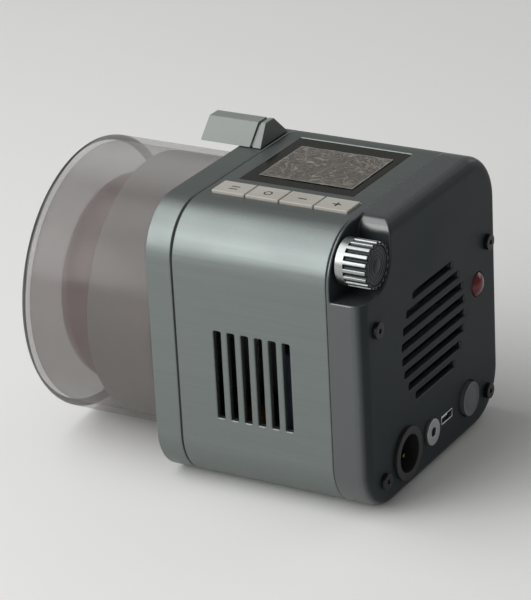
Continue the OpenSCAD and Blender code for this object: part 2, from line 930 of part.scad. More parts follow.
module heat_sink() {
    half = sink_w / 2;
    fins = floor((sink_w - fin_t) / fin_pitch);
    color("#b8bcbf") {
        bar_x(x_led, x_sink, led_boss_r);
        block([x_ring_back, -half, axis_z - half], [x_sink, half, axis_z + half]);
        for (i = [0 : fins]) {
            y = (i - fins / 2) * fin_pitch;
            block([x_sink, y - fin_t / 2, axis_z - half], [x_fan, y + fin_t / 2, axis_z + half]);
        }
    }
}

module fan_frame() {
    color(rubber)
        difference() {
            union() {
                difference() {
                    section_x(x_fan, x_fan_rear)
                        rounded_square(fan_w, fan_w, fan_corner_r);
                    bar_x(x_fan - over, x_fan_rear + over, fan_bore_r);
                }
                bar_x(x_fan_rear - fan_strut_t, x_fan_rear, fan_hub_r);
                around_axis(2)
                    block(
                        [x_fan_rear - fan_strut_t, -fan_strut_w / 2, axis_z - fan_bore_r - fit],
                        [x_fan_rear, fan_strut_w / 2, axis_z + fan_bore_r + fit]
                    );
                around_axis(2, 90)
                    block(
                        [x_fan_rear - fan_strut_t, -fan_strut_w / 2, axis_z - fan_bore_r - fit],
                        [x_fan_rear, fan_strut_w / 2, axis_z + fan_bore_r + fit]
                    );
            }
            bar_x(x_fan - over, x_fan_rear + over, fan_pin_r + running);
        }
}

module fan_rotor() {
    x0 = x_fan + 2 * clear;
    x1 = x_fan_rear - fan_strut_t - clear;
    middle = (x0 + x1) / 2;
    chord = (x1 - x0 - fan_blade_t) / cos(fan_blade_deg);
    color("#2a2c2e") {
        bar_x(x0, x1, fan_hub_r);
        bar_x(x1, x_fan_rear, fan_pin_r);
        around_axis(fan_blades)
            intersection() {
                translate([middle, 0, axis_z])
                    rotate([0, 0, fan_blade_deg])
                        translate([-chord / 2, -fan_blade_t / 2, fan_hub_r - 1])
                            cube([chord, fan_blade_t, fan_bore_r]);
                bar_x(x0, x1, fan_blade_r);
            }
    }
}

module tie_rods() {
    color(steel)
        for (place = rod_places)
            difference() {
                bar_x(x_ring_back, x_rear_in, rod_r, place[0], place[1]);
                bar_x(x_rear_in - screw_len, x_rear_in + over, screw_hole_r, place[0], place[1]);
            }
}

module rear_screws() {
    color(rubber)
        for (place = rod_places) {
            bar_x(x_rear_in - screw_len + 1, x_rear, screw_d / 2, place[0], place[1]);
            difference() {
                bar_x(x_rear, x_rear + rear_screw_head_t, screw_head_r, place[0], place[1]);
                translate([x_rear + rear_screw_head_t / 2, place[0], place[1]])
                    rotate([0, 90, 0])
                        cylinder(h = rear_screw_head_t, r = screw_d / 3, $fn = 6);
            }
        }
}

module power_board() {
    color(board_green)
        block(
            [power_board_front, -power_board_w / 2, power_board_z],
            [power_board_rear, power_board_w / 2, z_power]
        );
}

module board_standoffs() {
    color(steel)
        for (x = [power_board_front + standoff_in, power_board_rear - standoff_in], side = [-1, 1])
            translate([x, side * standoff_y, wall])
                cylinder(h = power_board_z - wall, r = standoff_d / 2);
}

module capacitors() {
    color("#3a4d78")
        for (side = [-1, 1])
            translate([power_board_rear - capacitor_r, side * capacitor_y, z_power])
                cylinder(h = capacitor_h, r = capacitor_r);
}

module charging_transformer() {
    x0 = x_fan_rear + transformer_gap;
    x1 = power_board_rear;
    color("#5a3f2a") {
        block(
            [x0 + winding_out, -core_w / 2, z_power],
            [x1 - winding_out, core_w / 2, z_power + core_h]
        );
        block(
            [x0, -winding_w / 2, z_power + winding_rise],
            [x1, winding_w / 2, z_power + winding_rise + winding_h]
        );
    }
}

module trigger_coil() {
    color("#70522f")
        translate([power_board_front + coil_in, -fan_w / 2 - coil_gap - coil_d / 2, z_power])
            cylinder(h = coil_h, r = coil_d / 2);
}

module control_board() {
    color(board_green)
        block(
            [board_front, stud_y0 - stud_in, z_board - board_t],
            [board_rear, stud_y1 + stud_in, z_board]
        );
}

module panel_studs() {
    color(steel)
        for (x = [board_front + stud_in, board_rear - stud_in], y = [stud_y0, stud_y1])
            translate([x, y, z_board])
                cylinder(h = stud_len - fit - clear, r = stud_d / 2);
}

module backlight_frame() {
    color("#dfe2e2")
        block(concat(lcd_low, z_board), concat(lcd_high, z_lcd - lcd_t));
}

module display_panel() {
    color("#6d675f")
        block(concat(lcd_low, z_lcd - lcd_t), concat(lcd_high, z_lcd));
}

module display_window() {
    color("#15171a")
        block([window_x0, window_y0, z_window - window_t], [window_x1, window_y1, z_window]);
}

// Front edge of a key, counted from 0
function key_front(i) = key_x0 + i * (key_l + key_gap);

module key_switches() {
    half = switch_side / 2;
    color(rubber)
        for (i = [0 : key_count - 1])
            translate([key_front(i) + key_l / 2 - half, key_y - half, z_board])
                cube([switch_side, switch_side, switch_h]);
}

module key(i) {
    x = key_front(i);
    middle = x + key_l / 2;
    color("#b9b3a8") {
        block(
            [x, key_y - key_w / 2, z_key_flange],
            [x + key_l, key_y + key_w / 2, body_h + key_proud]
        );
        block(
            [x, key_y - key_w / 2 - key_flange_out, z_key_flange],
            [x + key_l, key_y + key_w / 2 + key_flange_out, z_key_flange + key_flange_t]
        );
        block(
            [middle - key_stem_w / 2, key_y - key_stem_w / 2, z_key_foot],
            [middle + key_stem_w / 2, key_y + key_stem_w / 2, z_key_flange]
        );
    }
}

module encoder_body() {
    color("#7d8286")
        difference() {
            bar_x(x_encoder, x_cover, encoder_d / 2, dial_y, dial_z);
            bar_x(x_encoder + encoder_floor, x_cover + over, plunger_r + running, dial_y, dial_z);
        }
}

module encoder_board() {
    color(board_green)
        translate([
            x_encoder - board_t,
            encoder_board_in_y - body_w / 2,
            body_h - encoder_board_in_z - encoder_board_side
        ])
            cube([board_t, encoder_board_side, encoder_board_side]);
}

module encoder_plunger() {
    color("#d0d0cc")
        bar_x(x_plunger, x_plunger + plunger_t, plunger_r, dial_y, dial_z);
}

module dial_shaft() {
    color(steel)
        bar_x(x_shaft, x_shaft_end, shaft_r, dial_y, dial_z);
}

module dial_knob() {
    color("#c3c5c6")
        difference() {
            bar_x(x_dial, x_dial_end, dial_r, dial_y, dial_z);
            bar_x(x_dial - over, x_shaft_end, shaft_r + running, dial_y, dial_z);
            bar_x(x_dial_end - inlay_t, x_dial_end + over, dial_r - inlay_rim, dial_y, dial_z);
            for (i = [0 : dial_flutes - 1])
                translate([0, dial_y, dial_z])
                    rotate([i * 360 / dial_flutes, 0, 0])
                        bar_x(x_dial + dial_ring_len, x_dial_end + over, flute_d / 2, 0, dial_r);
        }
}

module dial_inlay() {
    color(rubber)
        bar_x(x_dial_end - inlay_t, x_dial_end - fit, dial_r - inlay_rim - fit, dial_y, dial_z);
}

module power_inlet() {
    x_floor = x_rear + port_flange_t - inlet_depth;
    color(rubber)
        difference() {
            union() {
                bar_x(x_floor - port_floor, x_rear, inlet_r, inlet_y, port_z);
                bar_x(x_rear, x_rear + port_flange_t, inlet_flange_d / 2, inlet_y, port_z);
            }
            bar_x(x_floor, x_rear + port_flange_t + over, inlet_bore_d / 2, inlet_y, port_z);
        }
}

module inlet_contacts() {
    x_floor = x_rear + port_flange_t - inlet_depth;
    color("#c9a85a")
        for (i = [0 : 3])
            translate([0, inlet_y, port_z])
                rotate([45 + 90 * i, 0, 0])
                    bar_x(x_floor, x_floor + inlet_pin_len, inlet_pin_d / 2, 0, inlet_pin_circle_d / 2);
}

module sync_jack() {
    color(steel)
        difference() {
            union() {
                bar_x(x_rear - sync_depth, x_rear, sync_barrel_d / 2, sync_y, port_z);
                bar_x(x_rear, x_rear + port_flange_t, sync_nut_d / 2, sync_y, port_z);
            }
            bar_x(
                x_rear + port_flange_t - sync_depth, x_rear + port_flange_t + over,
                sync_bore_d / 2, sync_y, port_z
            );
        }
}

module data_port() {
    shell = 0.4;
    tongue_t = 0.7;
    half_w = data_w / 2;
    half_h = data_h / 2;
    color(steel) {
        difference() {
            block([x_rear - data_depth, data_y - half_w, port_z - half_h],
                [x_rear, data_y + half_w, port_z + half_h]);
            block([x_rear - data_depth + port_floor, data_y - half_w + shell, port_z - half_h + shell],
                [x_rear + over, data_y + half_w - shell, port_z + half_h - shell]);
        }
        block([x_rear - data_depth + port_floor, data_y - half_w / 2, port_z - tongue_t / 2],
            [x_rear - over, data_y + half_w / 2, port_z + tongue_t / 2]);
    }
}

module power_switch() {
    x_back = x_rear_in - power_switch_depth;
    color(rubber)
        difference() {
            bar_x(x_back, x_rear_in, power_switch_r, button_y, port_z);
            bar_x(x_back + power_switch_wall, x_rear_in + over, button_r + clear, button_y, port_z);
        }
}

module power_button() {
    x_back = x_rear_in - power_switch_depth + power_switch_wall + button_travel + clear;
    color("#54595d")
        bar_x(x_back, x_rear + button_proud, button_r, button_y, port_z);
}

module slave_sensor() {
    r = sensor_d / 2;
    color("#3a1416") {
        bar_x(x_rear_in, x_rear, r, sensor_y, axis_z + sensor_up);
        translate([x_rear, sensor_y, axis_z + sensor_up])
            rotate([0, 90, 0])
                rotate_extrude()
                    intersection() {
                        translate([0, -r])
                            circle(r * sqrt(2));
                        square(r);
                    }
    }
}

// Places of the base plate's screws, on the underside
module base_screw_places() {
    for (sx = [-1, 1], sy = [-1, 1])
        translate([sx * base_screw_x, sy * base_screw_y, -over])
            children();
}

module base_plate() {
    color(steel)
        difference() {
            translate([-base_plate_l / 2, -base_plate_w / 2, wall])
                cube([base_plate_l, base_plate_w, base_plate_t]);
            cylinder(h = wall + base_plate_t + over, r = bush_d / 2 + fit);
            base_screw_places()
                cylinder(h = wall + base_plate_t + 2 * over, r = screw_hole_r);
        }
}

module stand_bush() {
    z_flange = wall + base_plate_t;
    color("#b8964e")
        difference() {
            union() {
                cylinder(h = bush_len, r = bush_d / 2);
                translate([0, 0, z_flange])
                    cylinder(h = bush_flange_t, r = bush_d / 2 + bush_flange_w);
            }
            translate([0, 0, -over])
                cylinder(h = stand_depth + over, r = stand_hole_d / 2);
        }
}

module base_screws() {
    color(rubber)
        base_screw_places()
            translate([0, 0, over]) {
                cylinder(h = screw_d / 2, r1 = screw_d, r2 = screw_d / 2);
                cylinder(h = wall + base_plate_t, r = screw_d / 2);
            }
}

module protective_cap() {
    x_rim = x_front - cap_gap;
    color(frosted, 0.6)
        turned()
            difference() {
                union() {
                    translate([0, x_cap_tip + cap_edge_r])
                        square([cap_r, x_rim - x_cap_tip - cap_edge_r]);
                    translate([0, x_cap_tip])
                        square([cap_r - cap_edge_r, cap_edge_r]);
                    translate([cap_r - cap_edge_r, x_cap_tip + cap_edge_r])
                        circle(cap_edge_r);
                }
                translate([-over, x_cap_tip + cap_front_t])
                    square([cap_in_r + over, cap_reach]);
            }
}

// The latch's section, drawn as [y from its middle, height above its foot]
module latch_section(drop = 0) {
    half = latch_w / 2 - drop;
    rise = latch_h - clear - drop;
    polygon([[-half, 0], [half, 0], [half - rise, rise], [rise - half, rise]]);
}

// A piece of the latch between two places along X
module latch_length(x0, x1, drop = 0) {
    translate([x0, latch_y, z_latch])
        rotate([90, 0, 90])
            linear_extrude(x1 - x0)
                latch_section(drop);
}

module latch_slider() {
    x_back = x_front + latch_back;
    x_end = x_back + latch_slope;
    x_groove = x_back - latch_band - latch_groove;
    rise = latch_h - clear;
    color("#a9b0ab") {
        latch_length(x_latch, x_groove);
        latch_length(x_groove, x_groove + latch_groove, latch_groove);
        intersection() {
            latch_length(x_groove + latch_groove, x_end);
            translate([0, latch_y, z_latch])
                rotate([90, 0, 0])
                    linear_extrude(latch_w, center = true)
                        polygon([[x_latch, 0], [x_end, 0], [x_back, rise], [x_latch, rise]]);
        }
        block(
            [x_stem, latch_y - stem_w / 2, body_h - stem_drop],
            [x_stem + stem_l, latch_y + stem_w / 2, z_latch + over]
        );
    }
}

module latch_pin() {
    color(steel)
        bar_x(x_front - pin_reach, x_stem, pin_r, latch_y, pin_z);
}

front_ring();
ring_gasket();
body_sleeve();
rear_cover();
mount_collar();
collar_screws();
reflector_pan();
tube_socket();
flash_tube();
trigger_wire();
modelling_led();
led_lens();
glass_dome();
dome_clips();
heat_sink();
fan_frame();
fan_rotor();
tie_rods();
rear_screws();
power_board();
board_standoffs();
capacitors();
charging_transformer();
trigger_coil();
control_board();
panel_studs();
display_panel();
backlight_frame();
display_window();
key_switches();
key(0);  // key_1
key(1);  // key_2
key(2);  // key_3
key(3);  // key_4
encoder_body();
encoder_board();
encoder_plunger();
dial_shaft();
dial_knob();
dial_inlay();
power_inlet();
inlet_contacts();
sync_jack();
data_port();
power_switch();
power_button();
slave_sensor();
base_plate();
stand_bush();
base_screws();
protective_cap();
latch_slider();
latch_pin();
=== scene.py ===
"""Finished pieces, materials, light and camera for a monolight strobe head."""

import json
import math

import bpy
from bpy.props import FloatProperty, FloatVectorProperty, PointerProperty
from bpy.types import NodeSocket, Operator, Panel, PropertyGroup
from mathutils import Matrix, Vector


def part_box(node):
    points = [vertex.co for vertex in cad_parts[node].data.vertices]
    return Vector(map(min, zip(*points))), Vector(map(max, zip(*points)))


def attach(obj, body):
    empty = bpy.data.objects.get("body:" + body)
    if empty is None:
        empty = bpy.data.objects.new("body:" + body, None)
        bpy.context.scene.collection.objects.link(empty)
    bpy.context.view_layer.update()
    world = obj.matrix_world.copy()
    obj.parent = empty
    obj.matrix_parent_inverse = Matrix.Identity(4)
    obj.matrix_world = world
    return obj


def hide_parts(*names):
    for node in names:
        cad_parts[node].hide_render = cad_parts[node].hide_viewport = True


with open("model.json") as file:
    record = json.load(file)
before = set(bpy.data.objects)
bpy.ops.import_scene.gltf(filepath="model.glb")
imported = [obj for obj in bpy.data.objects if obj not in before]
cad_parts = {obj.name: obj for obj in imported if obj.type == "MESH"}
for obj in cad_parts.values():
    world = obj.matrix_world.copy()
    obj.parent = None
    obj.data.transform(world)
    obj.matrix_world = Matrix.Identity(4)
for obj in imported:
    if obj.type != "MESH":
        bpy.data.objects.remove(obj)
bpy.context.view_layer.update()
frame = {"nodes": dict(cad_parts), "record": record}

bl_info = {
    "name": "Monolight strobe head",
    "version": (1, 0, 0),
    "blender": (4, 5, 0),
    "location": "View3D > Sidebar > Strobe",
    "description": "Models and finishes the pieces of a monolight strobe head on its packed frame",
    "category": "Object",
}

RECORD = frame["record"]
SLOT_OF = {part["node"]: part["material_slot"] for part in RECORD["subparts"]}
BODY_OF = {node: body for body, nodes in RECORD["behaviour"]["bodies"].items() for node in nodes}


def tone(red, green, blue):
    """Linear colour for three screen values from 0 to 255."""
    parts = (value / 255 for value in (red, green, blue))
    return tuple(p / 12.92 if p <= 0.04045 else ((p + 0.055) / 1.055) ** 2.4 for p in parts)


def shade(base, gain, lift=0.0):
    """A colour made darker or lighter."""
    return [min(1.0, part * gain + lift) for part in base]


PALE_DUST, GREY_DUST = tone(176, 174, 168), tone(150, 148, 142)


def length(label, text, default):
    return FloatProperty(name=label, description=text, default=default, min=0, precision=5,
                         unit="LENGTH")


def colour(label, text, default):
    return FloatVectorProperty(name=label, description=text, default=default, size=3, min=0, max=1,
                               subtype="COLOR")


def point(label, text, default, kind="TRANSLATION"):
    unit = "LENGTH" if kind == "TRANSLATION" else "NONE"
    return FloatVectorProperty(name=label, description=text, default=default, size=3, subtype=kind,
                               unit=unit)


def amount(label, text, default, least=0.0):
    return FloatProperty(name=label, description=text, default=default, min=least)


class StrobeSizes(PropertyGroup):
    """Small forms that are added to the solids."""
    body_edge: length("Body edge", "Rounding of the sleeve's and front ring's edges", 0.0005)
    cover_edge: length("Cover edge", "Rounding of the rear cover's edges", 0.0006)
    collar_edge: length("Collar edge", "Rounding of the accessory collar's edges", 0.0005)
    fitting_edge: length("Fitting edge", "Rounding of ports, screws and small fittings", 0.0002)
    latch_edge: length("Latch edge", "Rounding of the release latch's edges", 0.0004)
    dial_edge: length("Dial edge", "Rounding of the dial's flutes and rim", 0.0002)
    key_edge: length("Key edge", "Rounding of the keys' edges", 0.0004)
    key_rim: length("Key rim", "Width of the flat rim round a key's dished top", 0.0013)
    key_dish: length("Key dish", "Depth of a key's dished top", 0.00025)
    cap_wall: length("Cap wall", "Thickness of the cap's wall", 0.0024)
    cap_corner: length("Cap corner", "Rounding outside the cap's front edge", 0.0025)
    cap_fillet: length("Cap fillet", "Rounding inside the cap's front edge", 0.0015)
    cap_margin: length("Cap margin", "Width of the raised rim round the cap's front", 0.007)
    cap_bead: length("Cap bead", "Length of the bead round the cap's open end", 0.0026)
    cap_bead_rise: length("Cap bead rise", "Height of the bead over the cap's skirt", 0.0003)
    film_wave: length("Film wave", "Height of the creases in the display's film", 0.00045)
    film_inset: length("Film inset", "Distance of the film's edge from the panel's edge", 0.0003)
    film_sheet: length("Film sheet", "Thickness of the display's film", 0.00006)
    mark_print: length("Mark print", "Thickness of the print on the keys", 0.00008)
    groove: length("Dial groove", "Depth of the rings in the dial's end", 0.00012)


class StrobeColours(PropertyGroup):
    """Colours of the finishes."""
    satin: colour("Satin metal", "Anodised sleeve and front ring", tone(121, 128, 126))
    collar: colour("Collar metal", "Turned accessory collar", tone(132, 132, 129))
    cover: colour("Cover plastic", "Moulded rear cover", tone(46, 52, 54))
    cap: colour("Cap plastic", "Frosted protective cap", tone(116, 108, 106))
    # Painted highlight: pale colour laid along the cap's top, where the overhead light falls
    cap_painted_highlight: colour("Cap crest", "Pale bloom along the cap's top", tone(214, 213, 210))
    cap_rim: colour("Cap rim", "Dark line round the cap's front", tone(30, 31, 32))
    latch: colour("Latch plastic", "Release latch", tone(134, 139, 136))
    # Painted shade for the latch's rear-facing faces, which stand in shade
    latch_painted_shade: colour("Latch end", "Dark rear end of the latch", tone(58, 63, 63))
    window: colour("Window", "Gloss border of the display", tone(28, 28, 25))
    film: colour("Display film", "Warm grey film over the panel", tone(97, 93, 86))
    key: colour("Key plastic", "Pale keys", tone(176, 173, 165))
    mark: colour("Key mark", "Printed marks on the keys", tone(44, 46, 46))
    dial: colour("Dial metal", "Bright fluted dial", tone(160, 164, 162))
    dome: colour("Dome glass", "Tinted glass dome", tone(158, 112, 107))
    floor: colour("Floor", "Pale studio floor", tone(238, 238, 236))


class StrobeStage(PropertyGroup):
    """Camera and light."""
    camera_place: point("Camera place", "Where the camera stands", (0.5005, -0.883, 0.4955))
    camera_right: point("Camera right", "Direction of the image's right side",
                        (0.888, 0.459, -0.031), "DIRECTION")
    camera_aim: point("Camera aim", "Point in the middle of the image", (-0.0265, 0.0, 0.0535))
    lens: amount("Lens", "Focal length in millimetres", 181, 20)
    softbox: amount("Softbox", "Watts of the light overhead", 9.0)
    near_key: amount("Near key", "Watts of the light on the near side", 11.5)
    far_fill: amount("Far fill", "Watts of the light on the far side", 1.8)
    surround: amount("Surround", "Strength of the room's own light", 0.25)


# Shader building blocks

def place(tree, kind, sockets=None, **settings):
    """Add a node, set it up, and fill or link its inputs."""
    made = tree.nodes.new("ShaderNode" + kind)
    for key, value in settings.items():
        setattr(made, key, value)
    for key, value in (sockets or {}).items():
        if isinstance(value, NodeSocket):
            tree.links.new(value, made.inputs[key])
        else:
            made.inputs[key].default_value = value
    return made


def maths(tree, operation, first, second=0.0):
    return place(tree, "Math", {0: first, 1: second}, operation=operation).outputs[0]


def scaled(tree, value, share):
    return maths(tree, "MULTIPLY", value, share)


def vector(tree, operation, first, second=None, output=0):
    sockets = {0: first} if second is None else {0: first, 1: second}
    return place(tree, "VectorMath", sockets, operation=operation).outputs[output]


def along_axis(tree, value, axis):
    """One axis of a vector."""
    return place(tree, "SeparateXYZ", {0: value}).outputs[axis]


def from_axis(tree, offset):
    """Distance from the line through the middle along X."""
    return vector(tree, "LENGTH", vector(tree, "MULTIPLY", offset, (0, 1, 1)), output="Value")


def facing(tree, axis):
    """How far the surface looks along an axis."""
    return along_axis(tree, place(tree, "NewGeometry").outputs["Normal"], axis)


def feed(shader, name, value):
    shader.id_data.links.new(value, shader.inputs[name])


def spread(tree, value, low, high, to_low=0.0, to_high=1.0):
    """Stretch a value's range, held at both ends."""
    return place(tree, "MapRange", {"Value": value, "From Min": low, "From Max": high,
                                    "To Min": to_low, "To Max": to_high}).outputs["Result"]


def blend(tree, share, first, second):
    """Mix two colours by a share."""
    made = place(tree, "Mix", {0: share}, data_type="RGBA", blend_type="MIX")
    for index, value in ((6, first), (7, second)):
        if isinstance(value, NodeSocket):
            tree.links.new(value, made.inputs[index])
        else:
            made.inputs[index].default_value = (*value[:3], 1)
    return made.outputs[2]


def effect(name, inputs, outputs):
    """Start a shader group with named inputs and outputs."""
    tree = bpy.data.node_groups.new(name, "ShaderNodeTree")
    for label, kind, default in inputs:
        socket = tree.interface.new_socket(label, in_out="INPUT", socket_type="NodeSocket" + kind)
        if default is not None:
            socket.default_value = default
    for label in outputs:
        tree.interface.new_socket(label, in_out="OUTPUT", socket_type="NodeSocketFloat")
    return tree, tree.nodes.new("NodeGroupInput"), tree.nodes.new("NodeGroupOutput")


def brushed_lines():
    """Fine lines along one direction: Stretch is small along the lines."""
    inputs = (("Vector", "Vector", None), ("Density", "Float", 900.0),
              ("Stretch", "Vector", (0.02, 1.0, 1.0)))
    tree, given, out = effect("Brushed lines", inputs, ("Lines", "Bands"))
    along = vector(tree, "MULTIPLY", given.outputs["Vector"], given.outputs["Stretch"])
    fine = place(tree, "TexNoise", {"Vector": along, "Detail": 5.0, "Roughness": 0.7,
                                    "Scale": given.outputs["Density"]})
    wide = place(tree, "TexNoise", {"Vector": along, "Detail": 2.0,
                                    "Scale": scaled(tree, given.outputs["Density"], 0.12)})
    tree.links.new(spread(tree, fine.outputs[0], 0.3, 0.7), out.inputs["Lines"])
    tree.links.new(spread(tree, wide.outputs[0], 0.32, 0.68), out.inputs["Bands"])
    return tree


def moulded_grain():
    """The pebbled skin of moulded plastic."""
    inputs = (("Vector", "Vector", None), ("Density", "Float", 1500.0))
    tree, given, out = effect("Moulded grain", inputs, ("Height", "Specks"))
    cells = place(tree, "TexVoronoi", {"Vector": given.outputs["Vector"], "Smoothness": 0.6,
                                       "Scale": given.outputs["Density"]}, feature="SMOOTH_F1")
    fine = place(tree, "TexNoise", {"Vector": given.outputs["Vector"], "Detail": 3.0,
                                    "Scale": scaled(tree, given.outputs["Density"], 1.7)})
    height = maths(tree, "ADD", scaled(tree, cells.outputs["Distance"], 0.7),
                   scaled(tree, fine.outputs[0], 0.5))
    tree.links.new(height, out.inputs["Height"])
    tree.links.new(spread(tree, fine.outputs[0], 0.55, 0.75), out.inputs["Specks"])
    return tree


def worn_edges():
    """Where edges rub: a broken mask along the corners of a piece."""
    inputs = (("Vector", "Vector", None), ("Reach", "Float", 0.0005), ("Breaks", "Float", 260.0))
    tree, given, out = effect("Worn edges", inputs, ("Wear",))
    round_normal = place(tree, "Bevel", {"Radius": given.outputs["Reach"]}, samples=6).outputs[0]
    normal = place(tree, "NewGeometry").outputs["Normal"]
    turn = vector(tree, "DOT_PRODUCT", round_normal, normal, "Value")
    edge = spread(tree, turn, 0.985, 0.86)
    breaks = place(tree, "TexNoise", {"Vector": given.outputs["Vector"], "Detail": 5.0,
                                      "Roughness": 0.65, "Scale": given.outputs["Breaks"]})
    broken = spread(tree, breaks.outputs[0], 0.38, 0.62, 0.25, 1.0)
    tree.links.new(maths(tree, "MULTIPLY", edge, broken), out.inputs["Wear"])
    return tree


def handling_marks():
    """Soft smears from hands, and dust that settles on faces that look up."""
    inputs = (("Vector", "Vector", None), ("Density", "Float", 30.0))
    tree, given, out = effect("Handling marks", inputs, ("Smear", "Dust"))
    smear = place(tree, "TexNoise", {"Vector": given.outputs["Vector"], "Detail": 4.0,
                                     "Distortion": 0.6, "Scale": given.outputs["Density"]})
    specks = place(tree, "TexNoise", {"Vector": given.outputs["Vector"], "Detail": 2.0,
                                      "Scale": scaled(tree, given.outputs["Density"], 60.0)})
    settled = maths(tree, "MULTIPLY", spread(tree, specks.outputs[0], 0.58, 0.78),
                    spread(tree, facing(tree, "Z"), 0.5, 1.0))
    tree.links.new(spread(tree, smear.outputs[0], 0.35, 0.65), out.inputs["Smear"])
    tree.links.new(settled, out.inputs["Dust"])
    return tree


def shared(tree, name, maker, sockets):
    """Place a shared effect in a material, built once."""
    effects = bpy.data.node_groups
    return place(tree, "Group", sockets, node_tree=effects[name] if name in effects else maker())


def opened(material):
    """A material's nodes and shader."""
    return material.node_tree, material.node_tree.nodes["Principled BSDF"]


def blank(name):
    """An empty material with its shader and object coordinates."""
    material = bpy.data.materials.new(name)
    material.use_nodes = True
    tree, shader = opened(material)
    where = place(tree, "TexCoord").outputs["Object"]
    return material, tree, shader, where


def bump(tree, shader, height, depth, strength=1.0):
    """Raise the surface by a height of up to a depth in metres."""
    made = place(tree, "Bump", {"Height": height, "Distance": depth, "Strength": strength})
    feed(shader, "Normal", made.outputs["Normal"])


def metal(name, base, rough=0.35, density=900.0, stretch=(0.02, 1, 1), depth=0.000012, wear=0.5,
          metallic=1.0, streak=0.12):
    """Brushed or turned metal with lines, smears and bright rubbed edges."""
    material, tree, shader, where = blank(name)
    shader.inputs["Metallic"].default_value = metallic
    lines = shared(tree, "Brushed lines", brushed_lines,
                   {"Vector": where, "Density": density, "Stretch": stretch})
    marks = shared(tree, "Handling marks", handling_marks, {"Vector": where})
    edges = shared(tree, "Worn edges", worn_edges, {"Vector": where})
    body = blend(tree, lines.outputs["Lines"], shade(base, 1 - streak), shade(base, 1 + streak))
    body = blend(tree, scaled(tree, lines.outputs["Bands"], 0.35), body, shade(base, 0.88))
    body = blend(tree, scaled(tree, marks.outputs["Dust"], 0.25), body, PALE_DUST)
    body = blend(tree, scaled(tree, edges.outputs["Wear"], wear), body, shade(base, 1.5, 0.06))
    feed(shader, "Base Color", body)
    roughness = maths(tree, "ADD", rough - 0.06, scaled(tree, lines.outputs["Lines"], 0.08))
    roughness = maths(tree, "ADD", roughness, scaled(tree, marks.outputs["Smear"], 0.07))
    feed(shader, "Roughness", roughness)
    bump(tree, shader, lines.outputs["Lines"], depth)
    return material


def plastic(name, base, rough=0.5, density=1500.0, depth=0.00003, wear=0.35, dust=0.3, lift=1.6,
            gloss=0.5):
    """Moulded plastic or rubber with a fine grain, paler specks and rubbed edges."""
    material, tree, shader, where = blank(name)
    shader.inputs["Specular IOR Level"].default_value = gloss
    grain = shared(tree, "Moulded grain", moulded_grain, {"Vector": where, "Density": density})
    marks = shared(tree, "Handling marks", handling_marks, {"Vector": where})
    edges = shared(tree, "Worn edges", worn_edges, {"Vector": where})
    body = blend(tree, marks.outputs["Smear"], shade(base, 0.9), shade(base, 1.08))
    body = blend(tree, scaled(tree, grain.outputs["Specks"], 0.3), body, shade(base, 1.35))
    body = blend(tree, scaled(tree, marks.outputs["Dust"], dust), body, GREY_DUST)
    body = blend(tree, scaled(tree, edges.outputs["Wear"], wear), body, shade(base, lift, 0.02))
    feed(shader, "Base Color", body)
    roughness = maths(tree, "ADD", rough - 0.05, scaled(tree, marks.outputs["Smear"], 0.1))
    feed(shader, "Roughness", roughness)
    bump(tree, shader, grain.outputs["Height"], depth)
    return material


def glass(name, base, rough, transmission=1.0, ior=1.47, depth=0.000006):
    """Clear or tinted glass with a faint grain and smears."""
    material, tree, shader, where = blank(name)
    shader.inputs["Transmission Weight"].default_value = transmission
    shader.inputs["IOR"].default_value = ior
    marks = shared(tree, "Handling marks", handling_marks, {"Vector": where, "Density": 45.0})
    grain = shared(tree, "Moulded grain", moulded_grain, {"Vector": where, "Density": 900.0})
    body = blend(tree, marks.outputs["Smear"], base, shade(base, 0.93))
    feed(shader, "Base Color", body)
    feed(shader, "Roughness", maths(tree, "ADD", rough, scaled(tree, marks.outputs["Smear"], 0.06)))
    bump(tree, shader, grain.outputs["Height"], depth, 0.5)
    return material


def cover_finish(colours):
    """Moulded cover: satin round its top and sides, matt on its rear face."""
    material = plastic("cover_plastic", colours.cover, 0.5, 2600, 0.000014, 0.8, lift=3.0,
                       gloss=0.12)
    tree, shader = opened(material)
    shader.inputs["Coat IOR"].default_value = 1.9
    shader.inputs["Coat Roughness"].default_value = 0.3
    feed(shader, "Coat Weight", spread(tree, facing(tree, "X"), 0.75, 0.35))
    return material


def latch_finish(colours):
    """Pale thumb piece whose rear-facing faces carry painted shade."""
    material = plastic("latch_plastic", colours.latch, 0.36, 2800, 0.00001, 0.5, 0.15, 1.35)
    tree, shader = opened(material)
    pale = shader.inputs["Base Color"].links[0].from_socket
    # Painted shade: faces that look towards the rear are darkened to the latch's shade colour
    rear = spread(tree, facing(tree, "X"), 0.3, 0.5)
    feed(shader, "Base Color", blend(tree, rear, pale, colours.latch_painted_shade))
    return material


